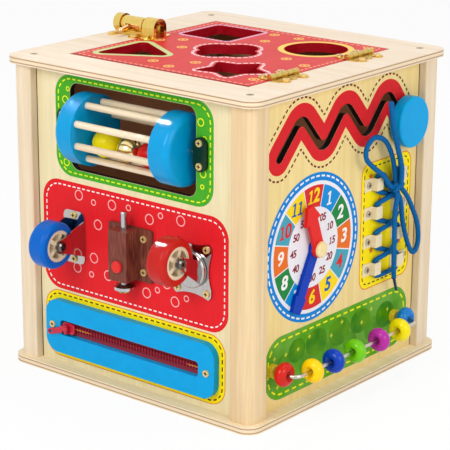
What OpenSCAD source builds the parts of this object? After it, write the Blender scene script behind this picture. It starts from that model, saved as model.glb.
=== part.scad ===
// Wooden busy cube with a shape-sorting lid.
// Lengths in mm. +Z is up, the base board's underside is z = 0 and its middle is x = y = 0.
// The front face looks along -Y, the right face along +X.

/* [Case] */
// Width and depth of the base and top boards
board_w = 250; // [240:1:270]
// Height from the underside of the base to the top of the lid
case_h = 254; // [248:1:280]
// Thickness of the base and top boards
board_t = 6; // [5:0.5:8]
// Corner radius of the boards
board_r = 12; // [4:1:18]
// Side of a corner post
post_w = 20; // [18:0.5:22]
// From the board edge to the post face
post_inset = 4.5; // [2:0.5:8]
// From the post face to the panel face
panel_recess = 7; // [5:0.5:9]
// Thickness of a side panel
panel_t = 5; // [4:0.25:6]
// Rounding of a post's outer corner
post_r = 8; // [2:0.5:9]

/* [Lid] */
// Side of the square lid
lid_w = 178; // [174:1:182]
// Thickness of the lid
lid_t = 7.5; // [6:0.5:8]
// Middle of the lid, left to right
lid_x = 2; // [0:0.5:4]
// Side of the three-cornered hole before its corners are rounded
triangle_side = 60.7; // [54:0.1:62]
// Side of the square hole
square_side = 49; // [42:1:50]
// Diameter of the round hole
round_d = 50.5; // [46:0.5:54]
// Radius of one lobe of the flower hole
lobe_r = 15.5; // [13:0.5:16.5]
// Radius to the points of the star hole before they are rounded
star_r = 29.3; // [26:0.1:30]

/* [Drum] */
// Width of the drum window
window_w = 127; // [122:1:130]
// Height of the drum window
window_h = 69; // [66:1:72]
// Diameter of the drum discs
drum_d = 56; // [54:0.5:58]
// Thickness of a drum disc
disc_t = 18; // [15:0.5:19]
// Gap between a drum disc and the window's side
drum_side = 6.5; // [5:0.5:8]
// Diameter of a drum dowel
dowel_d = 5.4; // [4.5:0.1:6]
// Radius of the ring of dowels
dowel_ring = 22.4; // [21.5:0.1:23]
// Diameter of the yellow ball
yellow_d = 23; // [20:0.5:25]
// Diameter of the bell
bell_d = 20; // [18:0.5:21]
// Diameter of the red ball
red_d = 20; // [18:0.5:21]

/* [Casters] */
// Diameter of a caster wheel
wheel_d = 37; // [34:0.5:38]
// Width of a caster wheel
wheel_w = 17; // [14:0.5:17.5]
// From the panel to the caster axle
axle_out = 27; // [25.5:0.5:30]
// How far the swivel wheel trails above its pivot
trail = 12; // [8:0.5:13]

/* [Latch] */
// Width of the latch block
latch_w = 18.7; // [16:0.1:22]
// Height of the latch block
latch_h = 40; // [36:1:44]
// Depth of the latch block
latch_d = 17; // [15.5:0.5:20]
// Diameter of the latch pin
pin_d = 5.5; // [4.5:0.1:6]

/* [Zip] */
// Length of the zip's chain of teeth
chain_l = 138; // [128:1:142]
// Height of the blue zip board
zip_h = 44; // [40:1:46]
// Thickness of the blue zip board
zip_t = 6; // [5.5:0.5:7]

/* [Zig-zag] */
// Width of the zig-zag slot
slot_w = 7.4; // [6.5:0.1:8]
// Side step of one zig-zag limb
zig_step = 27.75; // [26.5:0.05:28]
// Rise of one zig-zag limb before its turns are rounded
zig_rise = 31.5; // [28:0.5:32]
// Radius of a turn, on the slot's middle line
zig_turn = 8.5; // [6:0.5:9]
// Diameter of the knob
knob_d = 41; // [34:0.5:42]
// Thickness of the knob
knob_t = 10; // [8:0.5:12]

/* [Clock] */
// Height of the clock's middle above the base
clock_z = 124; // [120:1:128]
// Length of the minute hand
minute_l = 52; // [44:1:54]
// Length of the hour hand
hour_l = 38; // [32:1:42]

/* [Lacing] */
// Height from one row of lace eyelets to the next
eyelet_step = 23.2; // [22.5:0.1:23.6]
// Diameter of the lace
lace_d = 3.5; // [3:0.1:4]

/* [Beads] */
// Diameter of a bead
bead_d = 19; // [16:0.5:19.5]
// Thickness of a bead
bead_t = 10; // [8:0.5:10.5]
// Diameter of the bead wire
wire_d = 3; // [2.5:0.1:3.4]
// From the panel to the wire's long run
wire_out = 24; // [23:0.5:28]

/* [Fits] */
// Gap all round the lid in the top board
lid_gap = 0.8; // [0.6:0.1:1.2]
// Gap between parts that move past each other
gap = 0.3; // [0.3:0.05:0.4]
// Radial clearance of a shaft turning or sliding in its hole
run_fit = 0.08; // [0.05:0.01:0.1]
// Radial clearance of glued and screwed joints
set_fit = 0.03; // [0.02:0.01:0.05]

/* [Hidden] */
$fn = 48;
half = board_w / 2;
post_face = half - post_inset;
post_in = post_face - post_w;
face = post_face - panel_recess;
under = case_h - board_t;
groove = 5;
post_edge = 1.5;
screw_at = half - 17;
shank_d = 2.4;
head_d = 5.4;
head_t = 1.2;

// Colours
ply = [0.91, 0.82, 0.64];
blue = [0.0, 0.53, 0.87];
chrome = [0.78, 0.79, 0.81];
brass = [0.83, 0.66, 0.26];
red = [0.86, 0.1, 0.12];
cream = [0.89, 0.83, 0.71];

// Front face
front_x = -1;
drum_l = window_w - 2 * drum_side;
drum_z = case_h - 49.5;
drum_y = -face + 1.9;
stub_d = 3;
bracket_x = (window_w + stub_d) / 2 + 4;
bracket_w = 12.4;
bracket_h = 26;
bracket_t = 3;
hardware_z = 115.5;
fixed_x = -61.5;
swivel_x = 60;
latch_x = -1.5;
zip_x = -2.5;
zip_z = 38.5;
zip_end = 18.5;
zip_l = chain_l + 2 * zip_end;

// Right face
zig_y = -53.7;
zig_z = case_h - 56.5;
knob_y = zig_y + 4 * zig_step + 21.2;
knob_z = case_h - 52.5;
zig = [
    [zig_y - 26.3, case_h - 52.2],
    [zig_y, zig_z + zig_rise],
    [zig_y + zig_step, zig_z],
    [zig_y + 2 * zig_step, zig_z + zig_rise],
    [zig_y + 3 * zig_step, zig_z],
    [zig_y + 4 * zig_step, zig_z + zig_rise],
    [knob_y, knob_z],
];
clock_y = -37;
lace_y = 57.5;
wire_y0 = -86.5;
wire_y1 = 73.5;
wire_z = 39;
eyelet_z = (wire_z + zig_z) / 2 + 4.55 - 1.5 * eyelet_step;
bend_r = 6;

// Places on a face: u to the right, v up, w out of the face
module on_front(x, z) {
    translate([x, -face, z])
    rotate([90, 0, 0])
    children();
}

module on_right(y, z) {
    translate([face, y, z])
    rotate([90, 0, 90])
    children();
}

module along_x(x0) {
    translate([x0, 0, 0])
    rotate([0, 90, 0])
    children();
}

module along_y(y0) {
    translate([0, y0, 0])
    rotate([-90, 0, 0])
    children();
}

module rrect(w, h, r) {
    square([w - 2 * r, h], center = true);
    square([w, h - 2 * r], center = true);
    for (sx = [-1, 1], sy = [-1, 1])
        translate([sx * (w / 2 - r), sy * (h / 2 - r)])
        circle(r);
}

// Points of a turn from a by b to c, of radius r, on a line set o to the left of it
function bend(a, b, c, r, o, steps) =
    let (
        d0 = unit(b - a),
        d1 = unit(c - b),
        side = sign(cross(d0, d1)),
        turn = acos(d0 * d1),
        first = b - d0 * r * tan(turn / 2),
        middle = first + side * r * [-d0[1], d0[0]],
        start = atan2(first[1] - middle[1], first[0] - middle[0])
    )
    [for (k = [0 : steps])
        let (angle = start + side * turn * k / steps)
        middle + (r - side * o) * [cos(angle), sin(angle)]];

function rounded_loop(p, r) = [
    for (k = [0 : len(p) - 1])
        each bend(p[(k + len(p) - 1) % len(p)], p[k], p[(k + 1) % len(p)], r, 0, 6),
];

module corners(d) {
    for (sx = [-1, 1], sy = [-1, 1])
        translate([sx * d, sy * d, 0])
        children();
}

// Screws
// A row of [u, v, seat]: seat is the top of the piece the screw holds down
latch_screws = [for (s = [-1, 1], t = [-1, 1]) [latch_x + s * 14.2, hardware_z + t * 13.3, 2.5]];
fixed_screws = [for (t = [-1, 1]) [fixed_x, hardware_z + t * 17.8, 1.5]];
swivel_screws = [for (s = [-1, 1], t = [-1, 1]) [swivel_x + s * 14, hardware_z + t * 17.2, 1.8]];
drum_screws = [for (s = [-1, 1], t = [-1, 1])
    [front_x + s * bracket_x, drum_z + t * 8.8, bracket_t]];
zip_screws = [for (s = [-1, 1]) [zip_x + s * (zip_l / 2 - 7.5), zip_z - s, zip_t]];
front_screws = concat(latch_screws, fixed_screws, swivel_screws, drum_screws, zip_screws);
eyelet_screws_at = [for (s = [-1, 1], k = [0 : 3]) [lace_y + s * 24.3, eyelet_z + k * eyelet_step, 1]];

module pan_screw(length) {
    difference() {
        union() {
            cylinder(d = head_d, h = head_t);
            translate([0, 0, -length])
            cylinder(d = shank_d, h = length + head_t / 2);
        }
        translate([0, 0, head_t])
        cube([3.4, 0.7, 1.2], center = true);
        translate([0, 0, head_t])
        cube([0.7, 3.4, 1.2], center = true);
    }
}

module front_bores() {
    for (s = front_screws)
        on_front(s[0], s[1])
        cylinder(r = shank_d / 2 + set_fit, h = 30, center = true);
}

module right_bores() {
    for (s = eyelet_screws_at)
        on_right(s[0], s[1])
        cylinder(r = shank_d / 2 + set_fit, h = 30, center = true);
}

module top_bores(places) {
    for (p = places)
        translate([p[0], p[1], case_h])
        cylinder(r = shank_d / 2 + set_fit, h = 30, center = true);
}

// Case
module board_outline() {
    rrect(board_w, board_w, board_r);
}

module case_screw() {
    translate([0, 0, -16])
    cylinder(d = 3, h = 14.1);
    translate([0, 0, -2])
    cylinder(d1 = 3, d2 = 6, h = 2);
}

module case_screw_bore() {
    translate([0, 0, -17])
    cylinder(r = 1.5 + set_fit, h = 18);
    translate([0, 0, -2])
    cylinder(d1 = 3 + 2 * set_fit, d2 = 6 + 2 * set_fit, h = 2);
    cylinder(d = 6 + 2 * set_fit, h = 1);
}

module case_screw_places() {
    corners(screw_at)
    translate([0, 0, case_h])
    children();
    corners(screw_at)
    mirror([0, 0, 1])
    children();
}

module base_board() {
    color(ply)
    difference() {
        linear_extrude(board_t)
        board_outline();
        case_screw_places()
        case_screw_bore();
    }
}

module top_board() {
    color(ply)
    difference() {
        translate([0, 0, under])
        linear_extrude(board_t)
        difference() {
            board_outline();
            translate([lid_x, 0])
            square(lid_w + 2 * lid_gap, center = true);
        }
        case_screw_places()
        case_screw_bore();
        top_bores(concat(bolt_screws, hinge_screws(1)));
    }
}

module edge_cut(r) {
    difference() {
        square(2 * r, center = true);
        translate([-r, -r])
        circle(r);
    }
}

module post_section() {
    difference() {
        square(post_w);
        translate([post_w, post_w])
        edge_cut(post_r);
        translate([post_w, 0])
        mirror([0, 1])
        edge_cut(post_edge);
        translate([0, post_w])
        mirror([1, 0])
        edge_cut(post_edge);
        translate([-1, post_w - panel_recess - panel_t - set_fit])
        square([groove + 1, panel_t + 2 * set_fit]);
        translate([post_w - panel_recess - panel_t - set_fit, -1])
        square([panel_t + 2 * set_fit, groove + 1]);
    }
}

module corner_posts() {
    color(ply)
    difference() {
        for (mx = [0, 1], my = [0, 1])
            mirror([mx, 0, 0])
            mirror([0, my, 0])
            translate([post_in, post_in, board_t])
            linear_extrude(under - board_t)
            post_section();
        case_screw_places()
        case_screw_bore();
    }
}

module panel() {
    width = 2 * (post_in + groove - 0.2);
    translate([-width / 2, -face, board_t])
    cube([width, panel_t, under - board_t]);
}

module front_panel() {
    color(ply)
    difference() {
        panel();
        on_front(front_x, drum_z)
        linear_extrude(20, center = true)
        rrect(window_w, window_h, 8);
        translate([0, drum_y, drum_z])
        for (m = [0, 1])
            translate([front_x, 0, 0])
            mirror([m, 0, 0])
            along_x(window_w / 2 - 1)
            stub_groove();
        front_bores();
    }
}

module stub_groove() {
    length = bracket_w - 1;
    cylinder(r = stub_d / 2 + run_fit, h = length);
    translate([-stub_d / 2 - run_fit, -5, 0])
    cube([stub_d + 2 * run_fit, 5, length]);
}

module right_panel() {
    color(ply)
    difference() {
        rotate([0, 0, 90])
        panel();
        on_right(0, 0)
        linear_extrude(20, center = true)
        zig_slot(slot_w);
        on_right(clock_y, clock_z)
        cylinder(r = 3 + set_fit, h = 30, center = true);
        for (y = [wire_y0, wire_y1])
            on_right(y, wire_z)
            cylinder(r = wire_d / 2 + set_fit, h = 30, center = true);
        right_bores();
    }
}

module back_panel() {
    color(ply)
    rotate([0, 0, 180])
    panel();
}

module left_panel() {
    color(ply)
    rotate([0, 0, -90])
    panel();
}

module case_screws() {
    color(chrome)
    case_screw_places()
    difference() {
        case_screw();
        cube([3, 0.7, 1.6], center = true);
        cube([0.7, 3, 1.6], center = true);
    }
}

module brass_screws() {
    color(brass) {
        for (s = front_screws)
            on_front(s[0], s[1])
            translate([0, 0, s[2]])
            pan_screw(s[2] + 3);
        for (p = concat(bolt_screws, hinge_screws(1)))
            translate([p[0], p[1], case_h + leaf_t])
            pan_screw(5);
    }
}

module eyelet_screws() {
    color(chrome)
    for (s = eyelet_screws_at)
        on_right(s[0], s[1])
        translate([0, 0, s[2]])
        pan_screw(4);
}

// Lid, hinges and bolt
lid_right = lid_x + lid_w / 2;
lid_left = lid_x - lid_w / 2;
leaf_t = 1;
leaf_w = 6.5;
leaf_screw = 10.4;
hinge_l = 34;
hinge_y = 48;
hinge_x = lid_right + lid_gap / 2;
knuckle_r = 2.2;
hinge_z = case_h + knuckle_r + gap;
hinge_pin_d = 2.2;
knuckle_l = hinge_l / 5;
bolt_y = 1.5;
bolt_z = case_h + 8.5;
bolt_x0 = lid_left - 32;
bolt_x1 = lid_left - 1.3;
keeper_x0 = lid_left + 0.8;
keeper_l = 13;
rod_d = 9;
barrel_d = 13;
collar_l = 7;
bolt_collar_d = 15.4;
bolt_knob_d = 4;
bolt_knob_x = lid_left - 16;
bolt_travel = 10;
bolt_screws = [for (x = [bolt_x0 + 4, bolt_x1 - 4], s = [-1, 1]) [x, bolt_y + s * 11.5]];
keeper_screws = [for (s = [-1, 1]) [keeper_x0 + keeper_l / 2, bolt_y + s * 11]];

function hinge_screws(side) =
    [for (y = [-hinge_y, hinge_y], t = [-1, 1]) [hinge_x + side * leaf_screw, y + t * 10.5]];

module triangle_hole() {
    h = triangle_side * sqrt(3) / 2;
    translate([-75, -45])
    polygon(rounded_loop([[0, -triangle_side / 2], [h, 0], [0, triangle_side / 2]], 4.5));
}

module flower_hole() {
    lobe_out = 12;
    translate([-1.4, 0])
    for (k = [0 : 3])
        rotate(90 * k - 10)
        translate([lobe_out, 0])
        circle(lobe_r);
}

module star_hole() {
    points = [for (k = [0 : 9])
        (k % 2 == 0 ? star_r : 0.6 * star_r) * [cos(36 * k + 10), sin(36 * k + 10)]];
    translate([45.3, -50])
    polygon(rounded_loop(points, 2.5));
}

module lid() {
    color(red)
    difference() {
        translate([0, 0, case_h - lid_t])
        linear_extrude(lid_t)
        difference() {
            translate([lid_x, 0])
            square(lid_w, center = true);
            triangle_hole();
            translate([-49.2, 52.7])
            rrect(square_side, square_side, 4);
            translate([48.2, 50.3])
            circle(d = round_d);
            flower_hole();
            star_hole();
        }
        top_bores(concat(keeper_screws, hinge_screws(-1)));
    }
}

// A strip along the knuckles, with lobes round the screws and in the middle
module leaf_outline() {
    reach = knuckle_r + gap;
    translate([reach, -hinge_l / 2])
    square([leaf_w, hinge_l]);
    for (t = [-1, 1])
        translate([leaf_screw, t * 10.5])
        circle(4.2);
    translate([reach + leaf_w, 0])
    circle(3);
}

// One hinge leaf with every second knuckle; side 1 lies on the board, side -1 on the lid
module leaf(side) {
    first = side > 0 ? 0 : 1;
    difference() {
        union() {
            translate([0, 0, -knuckle_r - gap])
            linear_extrude(leaf_t)
            mirror([side > 0 ? 0 : 1, 0])
            leaf_outline();
            for (k = [first : 2 : 4])
                translate([0, -hinge_l / 2 + k * knuckle_l + gap / 2, 0])
                knuckle(side, knuckle_l - gap);
        }
        along_y(-hinge_l)
        cylinder(r = hinge_pin_d / 2 + run_fit, h = 2 * hinge_l);
    }
}

module knuckle(side, length) {
    along_y(0)
    cylinder(r = knuckle_r, h = length);
    translate([side > 0 ? 0 : -knuckle_r - 1, 0, -knuckle_r])
    cube([knuckle_r + 1, length, leaf_t - gap]);
}

module hinge_places() {
    for (y = [-hinge_y, hinge_y])
        translate([hinge_x, y, hinge_z])
        children();
}

module hinge_leaves_board() {
    color(brass)
    difference() {
        hinge_places()
        leaf(1);
        top_bores(hinge_screws(1));
    }
}

module hinge_leaves_lid() {
    color(brass)
    difference() {
        hinge_places()
        leaf(-1);
        top_bores(hinge_screws(-1));
    }
}

module hinge_pins() {
    color(brass)
    hinge_places()
    along_y(-hinge_l / 2 - 0.4)
    cylinder(d = hinge_pin_d, h = hinge_l + 0.8);
}

// A strip under the barrel, with a round lobe at each screw
module bolt_plate() {
    translate([(bolt_x0 + bolt_x1) / 2, bolt_y])
    square([bolt_x1 - bolt_x0, 14], center = true);
    for (p = bolt_screws)
        translate(p) {
            circle(4.4);
            translate([0, p[1] > bolt_y ? -4 : 4])
            square([6, 8], center = true);
        }
}

module bolt_barrel() {
    plate_l = bolt_x1 - bolt_x0;
    barrel_x = bolt_x0 + 1;
    neck = 1.2;
    color(brass)
    difference() {
        union() {
            translate([0, 0, case_h])
            linear_extrude(leaf_t)
            bolt_plate();
            translate([barrel_x, bolt_y - 4, case_h])
            cube([plate_l - 1, 8, 4]);
            translate([0, bolt_y, bolt_z]) {
                along_x(barrel_x)
                cylinder(d = bolt_collar_d, h = collar_l);
                along_x(barrel_x)
                cylinder(d = barrel_d - 2, h = plate_l - 1);
                along_x(barrel_x + collar_l + neck)
                cylinder(d = barrel_d, h = plate_l - 1 - collar_l - neck);
            }
        }
        translate([0, bolt_y, bolt_z]) {
            along_x(bolt_x0 + 3)
            cylinder(r = rod_d / 2 + run_fit, h = plate_l);
            rotate([12, 0, 0])
            translate([bolt_knob_x - bolt_knob_d / 2 - gap, -20, -bolt_knob_d / 2 - gap])
            cube([bolt_travel + bolt_knob_d + 2 * gap, 20, bolt_knob_d + 2 * gap]);
        }
        top_bores(bolt_screws);
    }
}

module bolt_rod() {
    tip = bolt_x1;
    back = bolt_x0 + 3 + gap;
    color(brass)
    translate([0, bolt_y, bolt_z]) {
        along_x(back)
        cylinder(d = rod_d, h = tip - back);
        rotate([12, 0, 0])
        translate([bolt_knob_x, 0, 0])
        mirror([0, 1, 0])
        along_y(0)
        cylinder(d = bolt_knob_d, h = 15.5);
        rotate([12, 0, 0])
        translate([bolt_knob_x, -15.5, 0])
        sphere(d = bolt_knob_d + 1);
    }
}

module bolt_keeper() {
    color(brass)
    difference() {
        union() {
            translate([keeper_x0, bolt_y, bolt_z])
            rotate([90, 0, 90])
            linear_extrude(keeper_l) {
                circle(d = bolt_collar_d);
                translate([-bolt_collar_d / 2, case_h - bolt_z])
                square([bolt_collar_d, bolt_z - case_h]);
            }
            translate([keeper_x0 + keeper_l / 2, bolt_y, case_h])
            linear_extrude(leaf_t)
            rrect(keeper_l, 31, 5);
        }
        translate([keeper_x0 - 1, bolt_y, bolt_z])
        rotate([90, 0, 90])
        linear_extrude(keeper_l + 2) {
            circle(r = rod_d / 2 + gap);
            translate([-rod_d / 2 - gap, case_h - bolt_z - 1])
            square([rod_d + 2 * gap, bolt_z - case_h + 1]);
        }
        top_bores(keeper_screws);
    }
}

module lid_screws() {
    color(brass)
    for (p = concat(keeper_screws, hinge_screws(-1)))
        translate([p[0], p[1], case_h + leaf_t])
        pan_screw(5);
}

// Drum
socket = 6;
inner_l = drum_l - 2 * disc_t;
ball_room = inner_l - yellow_d - bell_d - red_d;
ball_gap = ball_room / 10;
yellow_x = front_x - inner_l / 2 + ball_room * 7 / 30 + yellow_d / 2;
bell_x = yellow_x + yellow_d / 2 + ball_gap + bell_d / 2;
red_x = bell_x + bell_d / 2 + ball_gap + red_d / 2;

module dowel_ring_places() {
    for (k = [0 : 7])
        rotate([0, 0, 22.5 + 45 * k])
        translate([dowel_ring, 0, 0])
        children();
}

module disc() {
    rotate_extrude()
    translate([0, -disc_t])
    difference() {
        square([drum_d / 2, disc_t]);
        translate([drum_d / 2, 0])
        mirror([0, 1])
        edge_cut(5);
    }
}

module on_drum() {
    translate([front_x, drum_y, drum_z])
    rotate([0, 90, 0])
    children();
}

module drum_discs() {
    color(blue)
    on_drum()
    for (m = [0, 1])
        mirror([0, 0, m])
        translate([0, 0, -inner_l / 2])
        difference() {
            disc();
            translate([0, 0, -socket])
            dowel_ring_places()
            cylinder(r = dowel_d / 2 + set_fit, h = 2 * socket);
            translate([0, 0, -disc_t - 1])
            cylinder(r = stub_d / 2 + set_fit, h = 9);
        }
}

module drum_dowels() {
    color(cream)
    on_drum()
    translate([0, 0, -inner_l / 2 - socket + 0.1])
    dowel_ring_places()
    cylinder(d = dowel_d, h = inner_l + 2 * socket - 0.2);
}

module drum_pins() {
    color(chrome)
    on_drum()
    for (m = [0, 1])
        mirror([0, 0, m])
        translate([0, 0, drum_l / 2 - 7.9])
        cylinder(d = stub_d, h = window_w / 2 - drum_l / 2 + 7.9 + bracket_w - 3);
}

module drum_brackets() {
    color([0.05, 0.25, 0.15])
    difference() {
        for (s = [-1, 1])
            on_front(front_x + s * bracket_x, drum_z)
            linear_extrude(bracket_t)
            rrect(bracket_w, bracket_h, bracket_w / 2 - 0.1);
        front_bores();
    }
}

// A ball of diameter d lies on the lowest dowel in front
module in_drum(x, d) {
    fall = dowel_ring - dowel_d / 2 - gap - d / 2;
    translate([x, drum_y - fall * sin(22.5), drum_z - fall * cos(22.5)])
    children();
}

module ball_yellow() {
    color([0.95, 0.85, 0.1])
    in_drum(yellow_x, yellow_d)
    sphere(d = yellow_d);
}

module bell() {
    color(brass)
    in_drum(bell_x, bell_d)
    difference() {
        sphere(d = bell_d);
        sphere(d = bell_d - 1.6);
        rotate([0, 0, 30])
        translate([0, 0, -bell_d / 2]) {
            cube([14, 1.6, bell_d], center = true);
            cube([1.6, 14, bell_d], center = true);
        }
    }
}

module ball_red() {
    color(red)
    in_drum(red_x, red_d)
    sphere(d = red_d);
}

// Casters
axle_d = 5;
hub_r = 12.6;
fork_in = wheel_w / 2 + 1;
fork_t = 1.5;

module tyre() {
    r = 4;
    rotate_extrude()
    difference() {
        union() {
            translate([hub_r, -wheel_w / 2 + r])
            square([wheel_d / 2 - hub_r, wheel_w - 2 * r]);
            translate([hub_r, -wheel_w / 2])
            square([wheel_d / 2 - hub_r - r, wheel_w]);
            for (s = [-1, 1])
                translate([wheel_d / 2 - r, s * (wheel_w / 2 - r)])
                circle(r);
        }
        translate([0, -wheel_w])
        square([hub_r, 2 * wheel_w]);
    }
}

module hub() {
    ring = 2.6;
    boss = 4.8;
    outer = hub_r - set_fit;
    bore = axle_d / 2 + run_fit;
    rotate_extrude() {
        translate([outer - ring, -wheel_w / 2 + 0.6])
        square([ring, wheel_w - 1.2]);
        translate([bore, -fork_in + gap])
        square([boss - bore, 2 * fork_in - 2 * gap]);
        translate([boss - 0.5, -1.5])
        square([outer - ring - boss + 1, 3]);
    }
    for (k = [0 : 4])
        rotate([0, 0, 72 * k])
        translate([boss - 0.6, -1.6, -wheel_w / 2 + 1])
        cube([outer - ring - boss + 1.2, 3.2, wheel_w - 2]);
}

module axle() {
    out = fork_in + fork_t;
    translate([0, 0, -out - 0.1])
    cylinder(d = axle_d, h = 2 * out + 0.2);
    for (m = [0, 1])
        mirror([0, 0, m])
        translate([0, 0, out])
        difference() {
            union() {
                cylinder(d = 8.4, h = 1.2);
                translate([0, 0, 1.2])
                cylinder(d1 = 8.4, d2 = 5.6, h = 0.9);
            }
            translate([0, 0, 0.6])
            cylinder(d = 3.2, h = 3);
        }
}

// One fork cheek: from a foot of the given half height out to the axle, risen by lift
module cheek(foot_w, foot_h, lift) {
    difference() {
        union() {
            polygon([
                [foot_w, -foot_h],
                [axle_out, lift - 5],
                [axle_out, lift + 5],
                [foot_w, foot_h],
            ]);
            translate([axle_out, lift])
            circle(5.4);
        }
        translate([axle_out, lift])
        circle(axle_d / 2 + set_fit);
    }
}

// Both cheeks, drawn in a face frame
module cheeks(foot_w, foot_h, lift) {
    for (s = [-1, 1])
        translate([s * (fork_in + fork_t / 2) + fork_t / 2, 0, 0])
        rotate([0, -90, 0])
        linear_extrude(fork_t)
        cheek(foot_w, foot_h, lift);
}

module fixed_frame() {
    on_front(fixed_x, hardware_z)
    children();
}

module swivel_frame() {
    on_front(swivel_x, hardware_z)
    children();
}

module at_axle(lift) {
    translate([0, lift, axle_out])
    rotate([0, 90, 0])
    children();
}

module caster_bracket() {
    color(chrome)
    difference() {
        fixed_frame()
        union() {
            linear_extrude(fork_t)
            rrect(2 * (fork_in + fork_t), 43, 5);
            cheeks(0.5, 14.5, 0);
        }
        front_bores();
    }
}

module caster_axle() {
    color(chrome)
    fixed_frame()
    at_axle(0)
    axle();
}

module caster_tyre() {
    color(blue)
    fixed_frame()
    at_axle(0)
    tyre();
}

module caster_hub() {
    color(cream)
    fixed_frame()
    at_axle(0)
    hub();
}

plate_t = 1.8;
race_t = 2.2;
cup_w = plate_t + race_t + gap;
cup_t = 1.6;
king_d = 6;

module swivel_plate() {
    color(chrome)
    difference() {
        swivel_frame()
        union() {
            linear_extrude(plate_t)
            difference() {
                rrect(37, 44, 4.5);
                for (s = [-1, 1]) {
                    translate([s * 54, 0])
                    circle(38);
                    translate([0, s * 62])
                    circle(43);
                }
            }
            cylinder(d = 24, h = plate_t + race_t);
            cylinder(d = king_d, h = cup_w + cup_t + 2 * gap);
            translate([0, 0, cup_w + cup_t + gap])
            cylinder(d = 11, h = 1.1);
        }
        front_bores();
    }
}

// Half the section of the cup over the race, with a rounded rim
module cup_section() {
    top = cup_w + cup_t;
    cup_r = 14.5;
    difference() {
        translate([0, plate_t + 0.5])
        square([cup_r, top - plate_t - 0.5]);
        translate([-1, plate_t - 1])
        square([cup_r - 0.8, cup_w - plate_t + 1]);
        translate([cup_r, top])
        edge_cut(1.8);
    }
}

module swivel_yoke() {
    color(chrome)
    swivel_frame() {
        difference() {
            rotate_extrude()
            cup_section();
            cylinder(r = king_d / 2 + run_fit, h = 20);
        }
        cheeks(cup_w + cup_t / 2, 9.5, trail);
    }
}

module swivel_axle() {
    color(chrome)
    swivel_frame()
    at_axle(trail)
    axle();
}

module swivel_tyre() {
    color(red)
    swivel_frame()
    at_axle(trail)
    tyre();
}

module swivel_hub() {
    color(cream)
    swivel_frame()
    at_axle(trail)
    hub();
}

// Push latch
flange_t = 2.5;
pin_out = 9;
pin_up = latch_h / 2 + 14;
pin_down = latch_h / 2 + 3.5;
button_d = 9.4;
button_v = -8;
button_in = 3.6;

module latch_frame() {
    on_front(latch_x, hardware_z)
    children();
}

// Along v through the pin's middle line
module on_pin(v) {
    translate([0, v, pin_out])
    rotate([-90, 0, 0])
    children();
}

module latch_body() {
    color([0.4, 0.16, 0.12])
    difference() {
        latch_frame()
        difference() {
            union() {
                linear_extrude(flange_t)
                rrect(44.5, 42, 2);
                linear_extrude(latch_d)
                rrect(latch_w, latch_h, 1.5);
            }
            on_pin(-latch_h)
            cylinder(r = pin_d / 2 + run_fit, h = 2 * latch_h);
            translate([0, button_v, latch_d - button_in - 0.2])
            cylinder(r = button_d / 2 + run_fit, h = 10);
        }
        front_bores();
    }
}

module latch_pin() {
    color(chrome)
    latch_frame() {
        on_pin(-pin_down - 2)
        cylinder(d = pin_d, h = pin_up + pin_down + 1);
        on_pin(pin_up - 1)
        cylinder(d1 = pin_d, d2 = pin_d - 1.4, h = 1);
        on_pin(-pin_down - 1.6)
        cylinder(d1 = 16.5, d2 = 8, h = 1.6);
        on_pin(-pin_down - 4)
        cylinder(d = 16.5, h = 2.4);
        on_pin(-pin_down - 6)
        cylinder(d1 = 11, d2 = 16.5, h = 2);
    }
}

module latch_button() {
    travel = 1.6;
    color(red)
    latch_frame()
    translate([0, button_v, latch_d - button_in + travel]) {
        cylinder(d = button_d, h = button_in);
        translate([0, 0, button_in])
        cylinder(d1 = button_d, d2 = button_d - 1.6, h = 0.8);
    }
}

// Zip
tape_t = 1;
tooth_w = 2.6;
zip_slot_l = chain_l + 6;
zip_slot_h = 12.4;
tape_l = zip_slot_l + 10.8;
tape_h = 21.8;
tape_play = 0.2;
slider_x = -chain_l / 2 + 4.5;
slider_w0 = tooth_w + gap + 0.2;
bar_out = zip_t + 1.2;
bar_d = 1.8;

module zip_frame() {
    on_front(zip_x, zip_z)
    children();
}

module zip_board() {
    color(blue)
    difference() {
        zip_frame()
        difference() {
            linear_extrude(zip_t)
            rrect(zip_l, zip_h, 12);
            linear_extrude(3 * zip_t, center = true)
            rrect(zip_slot_l, zip_slot_h, 3);
            linear_extrude(2 * tape_t + 2 * set_fit, center = true)
            square([tape_l + tape_play, tape_h + tape_play], center = true);
        }
        front_bores();
    }
}

module zip_tape() {
    color([0.45, 0.05, 0.12])
    zip_frame()
    linear_extrude(tape_t)
    square([tape_l, tape_h], center = true);
}

module zip_teeth() {
    color([0.35, 0.04, 0.08])
    zip_frame() {
        translate([-chain_l / 2, -1.2, tape_t])
        cube([chain_l, 2.4, 1]);
        for (x = [-chain_l / 2 : 3 : chain_l / 2 - 2])
            translate([x, -2.3, tape_t])
            cube([1.6, 4.6, tooth_w - tape_t]);
    }
}

module zip_slider() {
    color([0.75, 0.1, 0.16])
    zip_frame()
    translate([slider_x, 0, 0]) {
        translate([0, 0, slider_w0])
        linear_extrude(1.4)
        rrect(13, 9, 3);
        for (s = [-1, 1]) {
            translate([-6, s * 3.4 - 0.6, tape_t + gap])
            cube([12, 1.2, slider_w0 - tape_t - gap + 0.5]);
            translate([-1.5, s * 3 - 0.6, slider_w0 + 1])
            cube([3, 1.2, bar_out - slider_w0 + 0.3]);
        }
        translate([0, -3, bar_out])
        along_y(0)
        cylinder(d = bar_d, h = 6);
    }
}

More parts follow.
